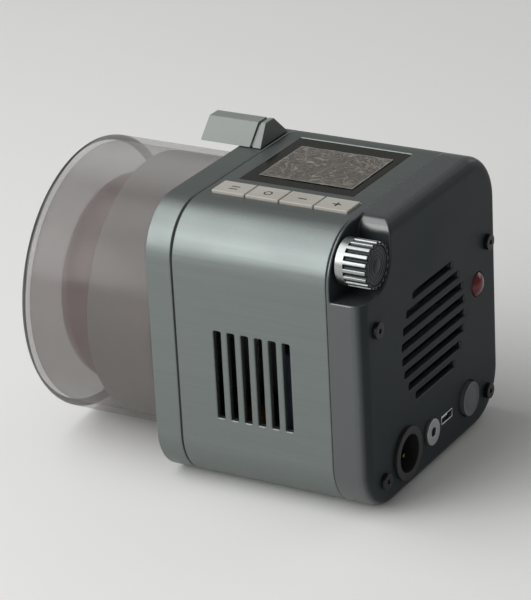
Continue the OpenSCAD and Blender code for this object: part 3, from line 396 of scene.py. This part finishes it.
def cap_finish(colours):
    """Frosted cap that shows the dome: a dark line round its front edge and a painted highlight on
    top.
    """
    material, tree, shader, where = blank("cap_plastic")
    shader.inputs["Coat Weight"].default_value = 0.3
    shader.inputs["Coat Roughness"].default_value = 0.12
    marks = shared(tree, "Handling marks", handling_marks, {"Vector": where, "Density": 24.0})
    grain = shared(tree, "Moulded grain", moulded_grain, {"Vector": where, "Density": 2200.0})
    edges = shared(tree, "Worn edges", worn_edges, {"Vector": where, "Reach": 0.0004})
    low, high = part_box("protective_cap")
    offset = vector(tree, "SUBTRACT", where, (0, 0, (low.z + high.z) / 2))
    outside = (high.z - low.z) / 2
    line, line_fade = low.x + 0.0025, 0.0004
    margin, margin_fade = outside - 0.0024, 0.0006
    rim = maths(tree, "MULTIPLY",
                spread(tree, along_axis(tree, where, "X"), line + line_fade, line),
                spread(tree, from_axis(tree, offset), margin - margin_fade, margin))
    # Painted highlight: a pale band painted along the top of the cap, where the overhead light
    # falls
    painted_top_highlight = spread(tree, along_axis(tree, offset, "Z"), outside * 0.86, outside * 0.99, 0.0, 0.7)
    body = blend(tree, marks.outputs["Smear"], colours.cap, shade(colours.cap, 0.92))
    body = blend(tree, painted_top_highlight, body, colours.cap_painted_highlight)
    body = blend(tree, scaled(tree, edges.outputs["Wear"], 0.5), body, tone(236, 234, 232))
    body = blend(tree, rim, body, colours.cap_rim)
    feed(shader, "Base Color", body)
    roughness = maths(tree, "ADD", 0.28, scaled(tree, marks.outputs["Smear"], 0.1))
    feed(shader, "Roughness", roughness)
    frost = maths(tree, "ADD", 0.36, scaled(tree, grain.outputs["Specks"], 0.06))
    frost = maths(tree, "ADD", frost, scaled(tree, edges.outputs["Wear"], 0.3))
    feed(shader, "Alpha", maths(tree, "MAXIMUM", frost, scaled(tree, rim, 0.95)))
    bump(tree, shader, grain.outputs["Height"], 0.00001, 0.6)
    return material


def dial_finish(colours):
    """Bright turned dial with painted shade in its flutes and a dark rear end."""
    material = metal("dial_metal", colours.dial, 0.32, 2200, (1, 0.03, 0.03), wear=0.5)
    tree, shader = opened(material)
    low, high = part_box("dial_knob")
    where = place(tree, "TexCoord").outputs["Object"]
    radius = from_axis(tree, vector(tree, "SUBTRACT", where, (low + high) / 2))
    outside = (high.z - low.z) / 2
    flute_top, flute_floor, end_start, end_full = 0.00022, 0.0006, 0.0007, 0.0003
    # Painted shade: the flute floors are darkened, where shade falls between the ribs
    deep = spread(tree, radius, outside - flute_top, outside - flute_floor)
    end = spread(tree, along_axis(tree, where, "X"), high.x - end_start, high.x - end_full)
    bright = shader.inputs["Base Color"].links[0].from_socket
    # The dark colour carries both the painted flute shade and the dark rear end
    dark = maths(tree, "MAXIMUM", deep, end)
    feed(shader, "Base Color", blend(tree, dark, bright, tone(40, 44, 46)))
    return material


def film_finish(colours):
    """Creased film over the display: painted shade in its folds, pale painted reflections on its
    raised loops, and a pale hem.
    """
    material, tree, shader, where = blank("panel_film")
    shader.inputs["Coat Weight"].default_value = 0.25
    shader.inputs["Coat Roughness"].default_value = 0.15
    folds = place(tree, "TexNoise", {"Vector": where, "Scale": 420.0, "Detail": 6.0,
                                     "Roughness": 0.7, "Distortion": 1.4})
    marks = shared(tree, "Handling marks", handling_marks, {"Vector": where, "Density": 60.0})
    fold_height_and_shade = spread(tree, folds.outputs[0], 0.35, 0.68)
    # Painted shade: the film is darkened where its folds sink, with the same pattern that lowers
    # the surface
    body = blend(tree, fold_height_and_shade, shade(colours.film, 0.55), shade(colours.film, 1.05))
    height = fold_height_and_shade
    for scale, share in ((150.0, 0.75), (270.0, 0.5)):
        swirl = place(tree, "TexNoise", {"Vector": where, "Scale": scale, "Detail": 1.0,
                                         "Distortion": 1.8})
        middling = maths(tree, "ABSOLUTE", maths(tree, "SUBTRACT", swirl.outputs[0], 0.5))
        loop_height_and_reflection = spread(tree, middling, 0.035, 0.0)
        # Painted reflection: pale lines laid along the raised loops
        body = blend(tree, scaled(tree, loop_height_and_reflection, share), body, tone(166, 160, 150))
        height = maths(tree, "ADD", height, scaled(tree, loop_height_and_reflection, share))
    body = blend(tree, scaled(tree, marks.outputs["Smear"], 0.3), body, tone(84, 76, 70))
    low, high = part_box("display_panel")
    aside = vector(tree, "ABSOLUTE", vector(tree, "SUBTRACT", where, (low + high) / 2))
    hem_start, hem_full = 0.0011, 0.0007
    for axis, half in (("X", (high.x - low.x) / 2), ("Y", (high.y - low.y) / 2)):
        beside = along_axis(tree, aside, axis)
        hem = spread(tree, beside, half - hem_start, half - hem_full, 0.0, 0.55)
        body = blend(tree, hem, body, tone(150, 145, 137))
    feed(shader, "Base Color", body)
    feed(shader, "Roughness", spread(tree, fold_height_and_shade, 0, 1, 0.45, 0.28))
    bump(tree, shader, height, 0.00012, 0.7)
    return material


def board_finish():
    """Circuit board: green mask over copper tracks, with small pads."""
    material, tree, shader, where = blank("board")
    tracks = place(tree, "TexBrick", {"Vector": where, "Color1": (0, 0, 0, 1),
                                      "Color2": (1, 1, 1, 1), "Mortar": (0.5, 0.5, 0.5, 1),
                                      "Scale": 180.0, "Mortar Size": 0.03, "Brick Width": 0.9,
                                      "Row Height": 0.22})
    pads = place(tree, "TexVoronoi", {"Vector": where, "Scale": 260.0}, feature="F1")
    marks = shared(tree, "Handling marks", handling_marks, {"Vector": where})
    body = blend(tree, tracks.outputs["Fac"], (0.012, 0.075, 0.04), (0.03, 0.15, 0.08))
    pad = spread(tree, pads.outputs["Distance"], 0.16, 0.12)
    body = blend(tree, pad, body, (0.62, 0.58, 0.48))
    body = blend(tree, scaled(tree, marks.outputs["Smear"], 0.2), body, (0.02, 0.06, 0.035))
    feed(shader, "Base Color", body)
    feed(shader, "Metallic", pad)
    shader.inputs["Roughness"].default_value = 0.38
    bump(tree, shader, tracks.outputs["Fac"], 0.00003)
    return material


def winding_finish():
    """Lacquered copper wire wound side by side."""
    material, tree, shader, where = blank("winding")
    shader.inputs["Metallic"].default_value = 0.7
    turns = place(tree, "TexWave", {"Vector": where, "Scale": 420.0, "Distortion": 0.6,
                                    "Detail": 1.0, "Detail Scale": 2.0},
                  wave_type="BANDS", bands_direction="Z")
    marks = shared(tree, "Handling marks", handling_marks, {"Vector": where})
    body = blend(tree, turns.outputs[1], (0.09, 0.035, 0.012), (0.34, 0.15, 0.05))
    body = blend(tree, scaled(tree, marks.outputs["Smear"], 0.3), body, (0.16, 0.08, 0.03))
    feed(shader, "Base Color", body)
    feed(shader, "Roughness", spread(tree, marks.outputs["Smear"], 0, 1, 0.28, 0.42))
    bump(tree, shader, turns.outputs[1], 0.0002)
    return material


def phosphor_finish():
    """Modelling light: rows of small yellow emitters on a pale plate."""
    material, tree, shader, where = blank("led_phosphor")
    dots = place(tree, "TexVoronoi", {"Vector": where, "Scale": 420.0, "Randomness": 0.0},
                 feature="F1")
    marks = shared(tree, "Handling marks", handling_marks, {"Vector": where})
    dot = spread(tree, dots.outputs["Distance"], 0.42, 0.34)
    body = blend(tree, dot, (0.7, 0.69, 0.64), (0.85, 0.6, 0.1))
    body = blend(tree, scaled(tree, marks.outputs["Smear"], 0.15), body, (0.5, 0.42, 0.2))
    feed(shader, "Base Color", body)
    feed(shader, "Roughness", spread(tree, dot, 0, 1, 0.35, 0.6))
    bump(tree, shader, dot, 0.0002)
    return material


def make_finishes(colours):
    """Every finish of the head, by the record's slot."""
    turned, upright = (1, 0.03, 0.03), (0.03, 0.03, 1)
    fine = 0.00001
    metals = {
        "satin_metal": (colours.satin, dict(rough=0.4, density=1100, metallic=0.82, streak=0.06,
                                            wear=0.35)),
        "collar_metal": (colours.collar, dict(rough=0.42, density=1600, stretch=turned,
                                              metallic=0.4)),
        "steel": (tone(190, 192, 193), dict(rough=0.32, density=1800, stretch=turned)),
        "dark_screws": (tone(54, 54, 56), dict(rough=0.4, density=2400, stretch=turned,
                                               metallic=0.9, wear=0.8)),
        "brass": (tone(205, 176, 112), dict(rough=0.3, density=2200, stretch=upright)),
        "reflector_metal": (tone(226, 226, 226), dict(rough=0.28, density=1300, stretch=turned,
                                                      depth=0.000008)),
        "sink_metal": (tone(204, 205, 206), dict(rough=0.4, density=1300)),
        "encoder_metal": (tone(176, 178, 179), dict(rough=0.35, density=1800)),
    }
    # Colour, roughness, grain density and depth, wear, dust, lift of worn edges, gloss
    plastics = {
        "gasket_rubber": (tone(26, 26, 27), 0.8, 2400, 0.00003, 0.1, 0.4),
        "window_plastic": (colours.window, 0.16, 500, 0.000003, 0.15, 0.12, 1.6, 0.22),
        "key_plastic": (colours.key, 0.5, 2600, 0.000016, 0.3, 0.2, 1.15),
        "mark_print": (colours.mark, 0.55, 3000, fine, 0.0, 0.1),
        "inlay_black": (tone(34, 38, 41), 0.42, 2600, fine, 0.4, 0.3, 1.6, 0.2),
        "fitting_black": (tone(34, 34, 36), 0.45, 2200, 0.00002, 0.4),
        "button_plastic": (tone(92, 95, 97), 0.45, 2600, 0.000014, 0.4),
        "sensor_plastic": (tone(96, 14, 18), 0.12, 700, 0.000004, 0.2, 0.1),
        "fan_plastic": (tone(38, 39, 41), 0.5, 1800, 0.00002, 0.3, 0.6),
        "ceramic": (tone(228, 224, 214), 0.55, 3200, 0.00002, 0.2, 0.1, 1.05),
        "capacitor_sleeve": (tone(30, 34, 46), 0.3, 900, 0.000006, 0.4),
        "white_plastic": (tone(218, 219, 218), 0.5, 2200, 0.00002, 0.2, 0.2, 1.1),
    }
    glasses = {
        "tube_glass": (tone(238, 228, 220), dict(rough=0.02)),
        "dome_glass": (colours.dome, dict(rough=0.08, transmission=0.7, depth=0.000003)),
        "lens_plastic": (tone(242, 242, 240), dict(rough=0.08, transmission=0.9, ior=1.49)),
    }
    made = {name: metal(name, base, **values) for name, (base, values) in metals.items()}
    made.update({name: plastic(name, *values) for name, values in plastics.items()})
    made.update({name: glass(name, base, **values) for name, (base, values) in glasses.items()})
    made.update(cover_plastic=cover_finish(colours), cap_plastic=cap_finish(colours),
                latch_plastic=latch_finish(colours), panel_film=film_finish(colours),
                dial_metal=dial_finish(colours), led_phosphor=phosphor_finish(),
                board=board_finish(), winding=winding_finish())
    return made


FINISHES = {}


# Modelling helpers

def deselect():
    if bpy.context.object and bpy.context.object.mode != "OBJECT":
        bpy.ops.object.mode_set(mode="OBJECT")
    bpy.ops.object.select_all(action="DESELECT")


def take(piece):
    """Make one piece the only selected and active one."""
    deselect()
    piece.select_set(True)
    bpy.context.view_layer.objects.active = piece
    return piece


def named(name):
    """Name the piece that was just made."""
    piece = bpy.context.active_object
    piece.name = piece.data.name = name
    return piece


def whole_mesh(step, **settings):
    """Run a mesh step on the whole of the active piece."""
    bpy.ops.object.mode_set(mode="EDIT")
    bpy.ops.mesh.select_all(action="SELECT")
    step(**settings)
    bpy.ops.object.mode_set(mode="OBJECT")


def modify(piece, kind, **settings):
    """Add a modifier to the active piece and apply it."""
    made = piece.modifiers.new(kind.lower(), kind)
    for key, value in settings.items():
        setattr(made, key, value)
    bpy.ops.object.modifier_apply(modifier=made.name)


def smooth(degrees):
    """Smooth the active piece, apart from the edges that turn more than an angle."""
    bpy.ops.object.shade_smooth_by_angle(angle=math.radians(degrees))


def copy_of(node, name, whole_flats=False):
    """A merged copy of a solid, ready for its edges, with each flat made one face where asked."""
    take(frame["nodes"][node])
    bpy.ops.object.duplicate()
    piece = named(name)
    for key in [key for key in piece.keys() if key.startswith("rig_")]:
        del piece[key]
    piece.parent = None
    piece.matrix_world = Matrix.Identity(4)
    whole_mesh(bpy.ops.mesh.remove_doubles, threshold=2e-6)
    if whole_flats:
        whole_mesh(bpy.ops.mesh.dissolve_limited, angle_limit=math.radians(0.5))
    return piece


def pick_end(piece, axis, end, slack=0.0001):
    """Select, in edit mode, only the faces at a piece's end that look along an axis."""
    take(piece)
    bpy.ops.object.mode_set(mode="EDIT")
    bpy.ops.mesh.select_mode(type="FACE")
    bpy.ops.mesh.select_all(action="DESELECT")
    bpy.ops.object.mode_set(mode="OBJECT")
    hits = [face for face in piece.data.polygons
            if face.normal[axis] > 0.99 and face.center[axis] > end - slack]
    if not hits:
        raise RuntimeError(f"{piece.name}: no face at its end")
    for face in hits:
        face.select = True
    bpy.ops.object.mode_set(mode="EDIT")


def soften(piece, width, segments=3, degrees=32):
    """Round the sharp edges, clear the slivers, then let the flat faces set the shading."""
    take(piece)
    modify(piece, "BEVEL", width=width, segments=segments, limit_method="ANGLE",
           angle_limit=math.radians(degrees), miter_outer="MITER_ARC", use_clamp_overlap=False,
           loop_slide=False)
    whole_mesh(bpy.ops.mesh.dissolve_degenerate, threshold=1e-6)
    smooth(40)
    modify(piece, "WEIGHTED_NORMAL", keep_sharp=True)
    return piece


def dress(piece, finish, body):
    """Give a finished piece its material, body and slot."""
    piece.data.materials.clear()
    piece.data.materials.append(FINISHES[finish])
    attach(piece, body)


def stand_for(piece, node):
    """Let a finished piece take a solid's place, body, slot and finish."""
    deselect()
    dress(piece, SLOT_OF[node], BODY_OF[node])
    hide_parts(node)


def softened(node, name, width):
    """A solid's copy with rounded edges, standing for it."""
    stand_for(soften(copy_of(node, name), width), node)


def arc(along, out, radius, start, end, count=8):
    """Points of an outline's rounded corner, by its middle and its angles in degrees."""
    turns = [math.radians(start + (end - start) * step / count) for step in range(count + 1)]
    return [(along + radius * math.cos(turn), out + radius * math.sin(turn)) for turn in turns]


def turned_piece(name, outline, centre, steps):
    """Spin an outline of (along, radius) points round the line along X through a centre."""
    centre, ahead, out = Vector(centre), Vector((1, 0, 0)), Vector((0, 0, 1))
    points = [centre + ahead * along + out * radius for along, radius in outline]
    deselect()
    bpy.ops.mesh.primitive_plane_add(size=0.001, location=points[0])
    piece = named(name)
    bpy.ops.object.transform_apply(location=True, rotation=True, scale=True)
    bpy.ops.object.mode_set(mode="EDIT")
    bpy.ops.mesh.select_mode(type="VERT")
    bpy.ops.mesh.select_all(action="SELECT")
    bpy.ops.mesh.merge(type="CENTER")
    for before, after in zip(points, points[1:]):
        bpy.ops.mesh.extrude_region_move(TRANSFORM_OT_translate={"value": after - before})
    bpy.ops.object.mode_set(mode="OBJECT")
    whole_mesh(bpy.ops.mesh.spin, steps=steps, angle=math.tau, center=centre, axis=ahead,
               use_auto_merge=True)
    whole_mesh(bpy.ops.mesh.remove_doubles, threshold=1e-6)
    whole_mesh(bpy.ops.mesh.normals_make_consistent, inside=False)
    smooth(35)
    return piece


# Pieces

class STROBE_OT_finishes(Operator):
    """Build the head's finishes and give them to the solids"""
    bl_idname = "strobe.finishes"
    bl_label = "Finishes"

    def execute(self, context):
        FINISHES.update(make_finishes(context.scene.strobe_colours))
        for name, node in frame["nodes"].items():
            node.data.materials.clear()
            node.data.materials.append(FINISHES[SLOT_OF[name]])
        return {"FINISHED"}


class STROBE_OT_body(Operator):
    """Round the edges of the front ring, sleeve and gasket"""
    bl_idname = "strobe.body"
    bl_label = "Body"

    def execute(self, context):
        sizes = context.scene.strobe_sizes
        softened("front_ring", "ring_shell", sizes.body_edge)
        softened("body_sleeve", "sleeve_shell", sizes.body_edge)
        softened("ring_gasket", "seam_gasket", sizes.fitting_edge / 2)
        return {"FINISHED"}


class STROBE_OT_rear_cover(Operator):
    """Round the edges of the rear cover with its dial pocket and grille"""
    bl_idname = "strobe.rear_cover"
    bl_label = "Rear cover"

    def execute(self, context):
        softened("rear_cover", "cover_shell", context.scene.strobe_sizes.cover_edge)
        return {"FINISHED"}


class STROBE_OT_cap(Operator):
    """Turn the translucent cap with its raised front rim and its bead"""
    bl_idname = "strobe.cap"
    bl_label = "Protective cap"

    def execute(self, context):
        sizes = context.scene.strobe_sizes
        low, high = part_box("protective_cap")
        tip, mouth, outside = low.x, high.x, (high.z - low.z) / 2
        wall, corner, fillet = sizes.cap_wall, sizes.cap_corner, sizes.cap_fillet
        skirt, inside = outside - sizes.cap_bead_rise, outside - wall
        bead, rim = mouth - sizes.cap_bead, skirt - sizes.cap_margin
        recess, slope, lip, ramp, lean = 0.0005, 0.0006, 0.0001, 0.0005, 0.00005
        outer_edge, inner_edge = 0.0006, 0.0005
        outline = [(tip + recess, 0), (tip + recess, rim - slope), (tip + lip, rim)]
        outline += arc(tip + corner, skirt - corner, corner, 180, 90)
        outline += [(bead - ramp, skirt), (bead, outside - lean)]
        outline += arc(mouth - outer_edge, outside - outer_edge, outer_edge, 90, 0, 5)
        outline += arc(mouth - inner_edge, inside + inner_edge, inner_edge, 0, -90, 5)
        outline += arc(tip + wall + fillet, inside - fillet, fillet, 90, 180)
        outline += [(tip + wall, 0)]
        cap = turned_piece("cap_shell", outline, (0, 0, (low.z + high.z) / 2), steps=192)
        stand_for(cap, "protective_cap")
        return {"FINISHED"}


class STROBE_OT_collar(Operator):
    """Round the edges of the accessory collar and its screws"""
    bl_idname = "strobe.collar"
    bl_label = "Accessory collar"

    def execute(self, context):
        sizes = context.scene.strobe_sizes
        softened("mount_collar", "collar_ring", sizes.collar_edge)
        softened("collar_screws", "collar_screw_heads", sizes.fitting_edge)
        return {"FINISHED"}


class STROBE_OT_lamp(Operator):
    """Finish the dome, flash tube, socket, pan and modelling light"""
    bl_idname = "strobe.lamp"
    bl_label = "Lamp"

    def execute(self, context):
        edge = context.scene.strobe_sizes.fitting_edge
        pieces = (("glass_dome", "dome_shell", 1), ("reflector_pan", "pan_shell", 1),
                  ("tube_socket", "socket_block", 2), ("flash_tube", "flash_tube_glass", 1),
                  ("trigger_wire", "trigger_lead", 0.5), ("modelling_led", "led_plate", 1),
                  ("led_lens", "led_lens_cap", 1), ("dome_clips", "dome_clip_set", 1))
        for node, name, share in pieces:
            softened(node, name, edge * share)
        return {"FINISHED"}


class STROBE_OT_display(Operator):
    """Make the gloss display window and the creased film on it"""
    bl_idname = "strobe.display"
    bl_label = "Display"

    def execute(self, context):
        sizes = context.scene.strobe_sizes
        softened("display_window", "display_glass", sizes.fitting_edge)
        low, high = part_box("display_panel")
        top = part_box("display_window")[1].z
        middle = (low + high) / 2
        deselect()
        bpy.ops.mesh.primitive_grid_add(x_subdivisions=84, y_subdivisions=72, size=1,
                                        location=(middle.x, middle.y, top + sizes.film_wave * 0.55))
        film = named("display_film")
        bpy.ops.transform.resize(value=(high.x - low.x - 2 * sizes.film_inset,
                                        high.y - low.y - 2 * sizes.film_inset, 1))
        bpy.ops.object.transform_apply(location=True, rotation=True, scale=True)
        for label, size, share in (("folds", 0.009, 0.6), ("creases", 0.003, 0.4)):
            cloud = bpy.data.textures.new("film_" + label, "CLOUDS")
            cloud.noise_scale, cloud.noise_depth = size, 2
            modify(film, "DISPLACE", texture=cloud, texture_coords="LOCAL", direction="Z",
                   strength=sizes.film_wave * share, mid_level=0.5)
        modify(film, "SOLIDIFY", thickness=sizes.film_sheet, offset=1)
        smooth(60)
        dress(film, "panel_film", "housing")
        return {"FINISHED"}


class STROBE_OT_keys(Operator):
    """Dish the four keys and print a plain mark on each"""
    bl_idname = "strobe.keys"
    bl_label = "Keys"
    DISH_TAPER = (0.93, 0.9, 1)
    MARK_EDGE = 0.00002

    def execute(self, context):
        sizes = context.scene.strobe_sizes
        for number in range(1, 5):
            node = f"key_{number}"
            low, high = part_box(node)
            piece = copy_of(node, f"key_cap_{number}", True)
            pick_end(piece, 2, high.z)
            bpy.ops.mesh.inset(thickness=sizes.key_rim, depth=0)
            bpy.ops.transform.translate(value=(0, 0, -sizes.key_dish))
            bpy.ops.transform.resize(value=self.DISH_TAPER)
            stand_for(soften(piece, sizes.key_edge, 4, 20), node)
            self.mark(number, node, (low + high) / 2, high.z - sizes.key_dish, sizes.mark_print)
        return {"FINISHED"}

    def mark(self, number, node, middle, top, print_height):
        """Two bars, a ring, a minus or a plus, as a thin print on the key."""
        bar, stroke, thin, gap = 0.0034, 0.0007, 0.0006, 0.0011
        ring, wire, flat = 0.0014, 0.0003, 0.13
        bars = {1: ((-gap, bar, thin), (gap, bar, thin)),
                3: ((0, bar, stroke),),
                4: ((0, bar, stroke), (0, stroke, bar))}
        made = []
        for aside, wide, deep in bars.get(number, ()):
            deselect()
            bpy.ops.mesh.primitive_cube_add(size=1, location=(middle.x, middle.y + aside, top))
            bpy.ops.transform.resize(value=(wide, deep, print_height))
            made.append(bpy.context.active_object)
        if number == 2:
            deselect()
            bpy.ops.mesh.primitive_torus_add(location=(middle.x, middle.y, top), major_radius=ring,
                                             minor_radius=wire, major_segments=48, minor_segments=8)
            bpy.ops.transform.resize(value=(1, 1, flat))
            made.append(bpy.context.active_object)
        deselect()
        for part in made:
            part.select_set(True)
        bpy.context.view_layer.objects.active = made[0]
        if len(made) > 1:
            bpy.ops.object.join()
        piece = named(f"key_mark_{number}")
        bpy.ops.object.transform_apply(location=True, rotation=True, scale=True)
        if number != 2:
            modify(piece, "BEVEL", width=self.MARK_EDGE, segments=2)
        smooth(40)
        dress(piece, "mark_print", BODY_OF[node])


class STROBE_OT_dial(Operator):
    """Round the dial's flutes and turn its ringed inlay"""
    bl_idname = "strobe.dial"
    bl_label = "Dial"

    def execute(self, context):
        sizes = context.scene.strobe_sizes
        softened("dial_knob", "dial_grip", sizes.dial_edge)
        low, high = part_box("dial_inlay")
        radius, front, back = (high.z - low.z) / 2, high.x, low.x
        chamfer, edge, half = 0.0002, 0.0003, 0.0002
        floor = front - sizes.groove
        outline = [(back, 0), (back, radius - chamfer), (back + chamfer, radius)]
        outline += arc(front - edge, radius - edge, edge, 90, 0, 4)
        for ring in (radius * 0.82, radius * 0.62, radius * 0.42):
            outline += [(front, ring + 2 * half), (floor, ring + half), (floor, ring - half),
                        (front, ring - 2 * half)]
        outline += [(front, 0)]
        middle = (low + high) / 2
        face = turned_piece("dial_face", outline, (0, middle.y, middle.z), steps=96)
        stand_for(face, "dial_inlay")
        return {"FINISHED"}


class STROBE_OT_latch(Operator):
    """Round the edges of the release latch and its pin"""
    bl_idname = "strobe.latch"
    bl_label = "Release latch"

    def execute(self, context):
        sizes = context.scene.strobe_sizes
        softened("latch_slider", "latch_thumb_piece", sizes.latch_edge)
        softened("latch_pin", "latch_bolt", sizes.fitting_edge)
        return {"FINISHED"}


class STROBE_OT_rear_fittings(Operator):
    """Finish the screws, ports, power button and sensor of the rear face"""
    bl_idname = "strobe.rear_fittings"
    bl_label = "Rear fittings"

    def execute(self, context):
        edge = context.scene.strobe_sizes.fitting_edge
        for node, name in (("rear_screws", "rear_screw_set"), ("power_inlet", "inlet_shell"),
                           ("inlet_contacts", "inlet_pins"), ("sync_jack", "sync_socket"),
                           ("data_port", "data_socket"), ("slave_sensor", "sensor_lens")):
            softened(node, name, edge)
        button = copy_of("power_button", "power_push_button", True)
        land, dish, floor, slope, rise = 0.0015, 0.0004, 0.0012, 0.0006, 0.0003
        pick_end(button, 0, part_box("power_button")[1].x)
        bpy.ops.mesh.inset(thickness=land, depth=0)
        bpy.ops.transform.translate(value=(-dish, 0, 0))
        bpy.ops.mesh.inset(thickness=floor, depth=0)
        bpy.ops.mesh.inset(thickness=slope, depth=0)
        bpy.ops.transform.translate(value=(rise, 0, 0))
        stand_for(soften(button, edge), "power_button")
        return {"FINISHED"}


class STROBE_OT_underside(Operator):
    """Round the edges of the stand bush and the base screws"""
    bl_idname = "strobe.underside"
    bl_label = "Underside"

    def execute(self, context):
        edge = context.scene.strobe_sizes.fitting_edge
        softened("base_screws", "base_screw_set", edge)
        softened("stand_bush", "bush_shell", edge)
        return {"FINISHED"}


class STROBE_OT_fan(Operator):
    """Round the edges of the fan seen through the grille"""
    bl_idname = "strobe.fan"
    bl_label = "Fan"

    def execute(self, context):
        edge = context.scene.strobe_sizes.fitting_edge
        softened("fan_frame", "fan_housing", edge)
        softened("fan_rotor", "fan_blades", edge)
        return {"FINISHED"}


class STROBE_OT_stage(Operator):
    """Set up the pale floor, the soft light and the camera"""
    bl_idname = "strobe.stage"
    bl_label = "Stage"
    LAMPS = (("softbox", (-0.6, -0.35, 1.1), (1.3, 0.9)),
             ("near_key", (-0.72, -1.1, 0.66), (1.3, 0.8)),
             ("far_fill", (0.5, 1.15, 0.4), (1.0, 0.5)))
    FLOOR_RADIUS, FLOOR_DROP, SENSOR_WIDTH = 14, 0.0001, 36

    def execute(self, context):
        scene, stage = context.scene, context.scene.strobe_stage
        self.floor(scene.strobe_colours.floor)
        self.room(scene, stage.surround)
        aim = Vector(stage.camera_aim)
        for name, spot, size in self.LAMPS:
            self.lamp(name, spot, aim, size, getattr(stage, name))
        self.camera(scene, stage, aim)
        scene.view_settings.view_transform = "Standard"
        return {"FINISHED"}

    def floor(self, pale):
        deselect()
        bpy.ops.mesh.primitive_circle_add(vertices=96, radius=self.FLOOR_RADIUS, fill_type="NGON",
                                          location=(0, 0, -self.FLOOR_DROP))
        floor = named("studio_floor")
        bpy.ops.object.transform_apply(location=True, rotation=True, scale=True)
        material, tree, shader, where = blank("studio_floor")
        marks = shared(tree, "Handling marks", handling_marks, {"Vector": where, "Density": 3.0})
        feed(shader, "Base Color", blend(tree, marks.outputs["Smear"], pale, shade(pale, 0.985)))
        shader.inputs["Roughness"].default_value = 0.7
        shader.inputs["Specular IOR Level"].default_value = 0.2
        floor.data.materials.append(material)

    def room(self, scene, strength):
        world = bpy.data.worlds.new("studio_room")
        world.use_nodes = True
        world.node_tree.nodes["Background"].inputs["Color"].default_value = (1, 1, 1, 1)
        world.node_tree.nodes["Background"].inputs["Strength"].default_value = strength
        scene.world = world

    def lamp(self, name, spot, aim, size, watts):
        deselect()
        bpy.ops.object.light_add(type="AREA", location=spot)
        lamp = bpy.context.active_object
        lamp.name = lamp.data.name = name
        lamp.data.shape, lamp.data.size, lamp.data.size_y = "RECTANGLE", size[0], size[1]
        lamp.data.energy = watts
        lamp.rotation_euler = (aim - Vector(spot)).to_track_quat("-Z", "Y").to_euler()

    def camera(self, scene, stage, aim):
        deselect()
        bpy.ops.object.camera_add()
        camera = bpy.context.active_object
        camera.name = camera.data.name = "photo_view"
        spot = Vector(stage.camera_place)
        back = (spot - aim).normalized()
        right = Vector(stage.camera_right)
        right = (right - back * right.dot(back)).normalized()
        axes = Matrix((right, back.cross(right), back)).transposed()
        camera.matrix_world = Matrix.Translation(spot) @ axes.to_4x4()
        camera.data.sensor_width, camera.data.lens = self.SENSOR_WIDTH, stage.lens
        camera.data.clip_start, camera.data.clip_end = 0.01, 100
        scene.camera = camera


OPERATORS = (STROBE_OT_finishes, STROBE_OT_body, STROBE_OT_rear_cover, STROBE_OT_cap,
             STROBE_OT_collar, STROBE_OT_lamp, STROBE_OT_display, STROBE_OT_keys, STROBE_OT_dial,
             STROBE_OT_latch, STROBE_OT_rear_fittings, STROBE_OT_underside, STROBE_OT_fan,
             STROBE_OT_stage)


class STROBE_PT_panel(Panel):
    """Sizes, colours and steps of the strobe head"""
    bl_label = "Strobe head"
    bl_idname = "STROBE_PT_panel"
    bl_space_type = "VIEW_3D"
    bl_region_type = "UI"
    bl_category = "Strobe"

    def draw(self, context):
        layout, scene = self.layout, context.scene
        for group in (scene.strobe_sizes, scene.strobe_colours, scene.strobe_stage):
            box = layout.box()
            for key in group.__annotations__:
                box.prop(group, key)
        for operator in OPERATORS:
            layout.operator(operator.bl_idname)


CLASSES = (StrobeSizes, StrobeColours, StrobeStage, *OPERATORS, STROBE_PT_panel)


def register():
    for cls in CLASSES:
        bpy.utils.register_class(cls)
    bpy.types.Scene.strobe_sizes = PointerProperty(type=StrobeSizes)
    bpy.types.Scene.strobe_colours = PointerProperty(type=StrobeColours)
    bpy.types.Scene.strobe_stage = PointerProperty(type=StrobeStage)


def unregister():
    del bpy.types.Scene.strobe_stage, bpy.types.Scene.strobe_colours, bpy.types.Scene.strobe_sizes
    for cls in reversed(CLASSES):
        bpy.utils.unregister_class(cls)


def main():
    register()
    for operator in OPERATORS:
        group, name = operator.bl_idname.split(".")
        getattr(getattr(bpy.ops, group), name)()
    deselect()


if __name__ == "__main__":
    main()
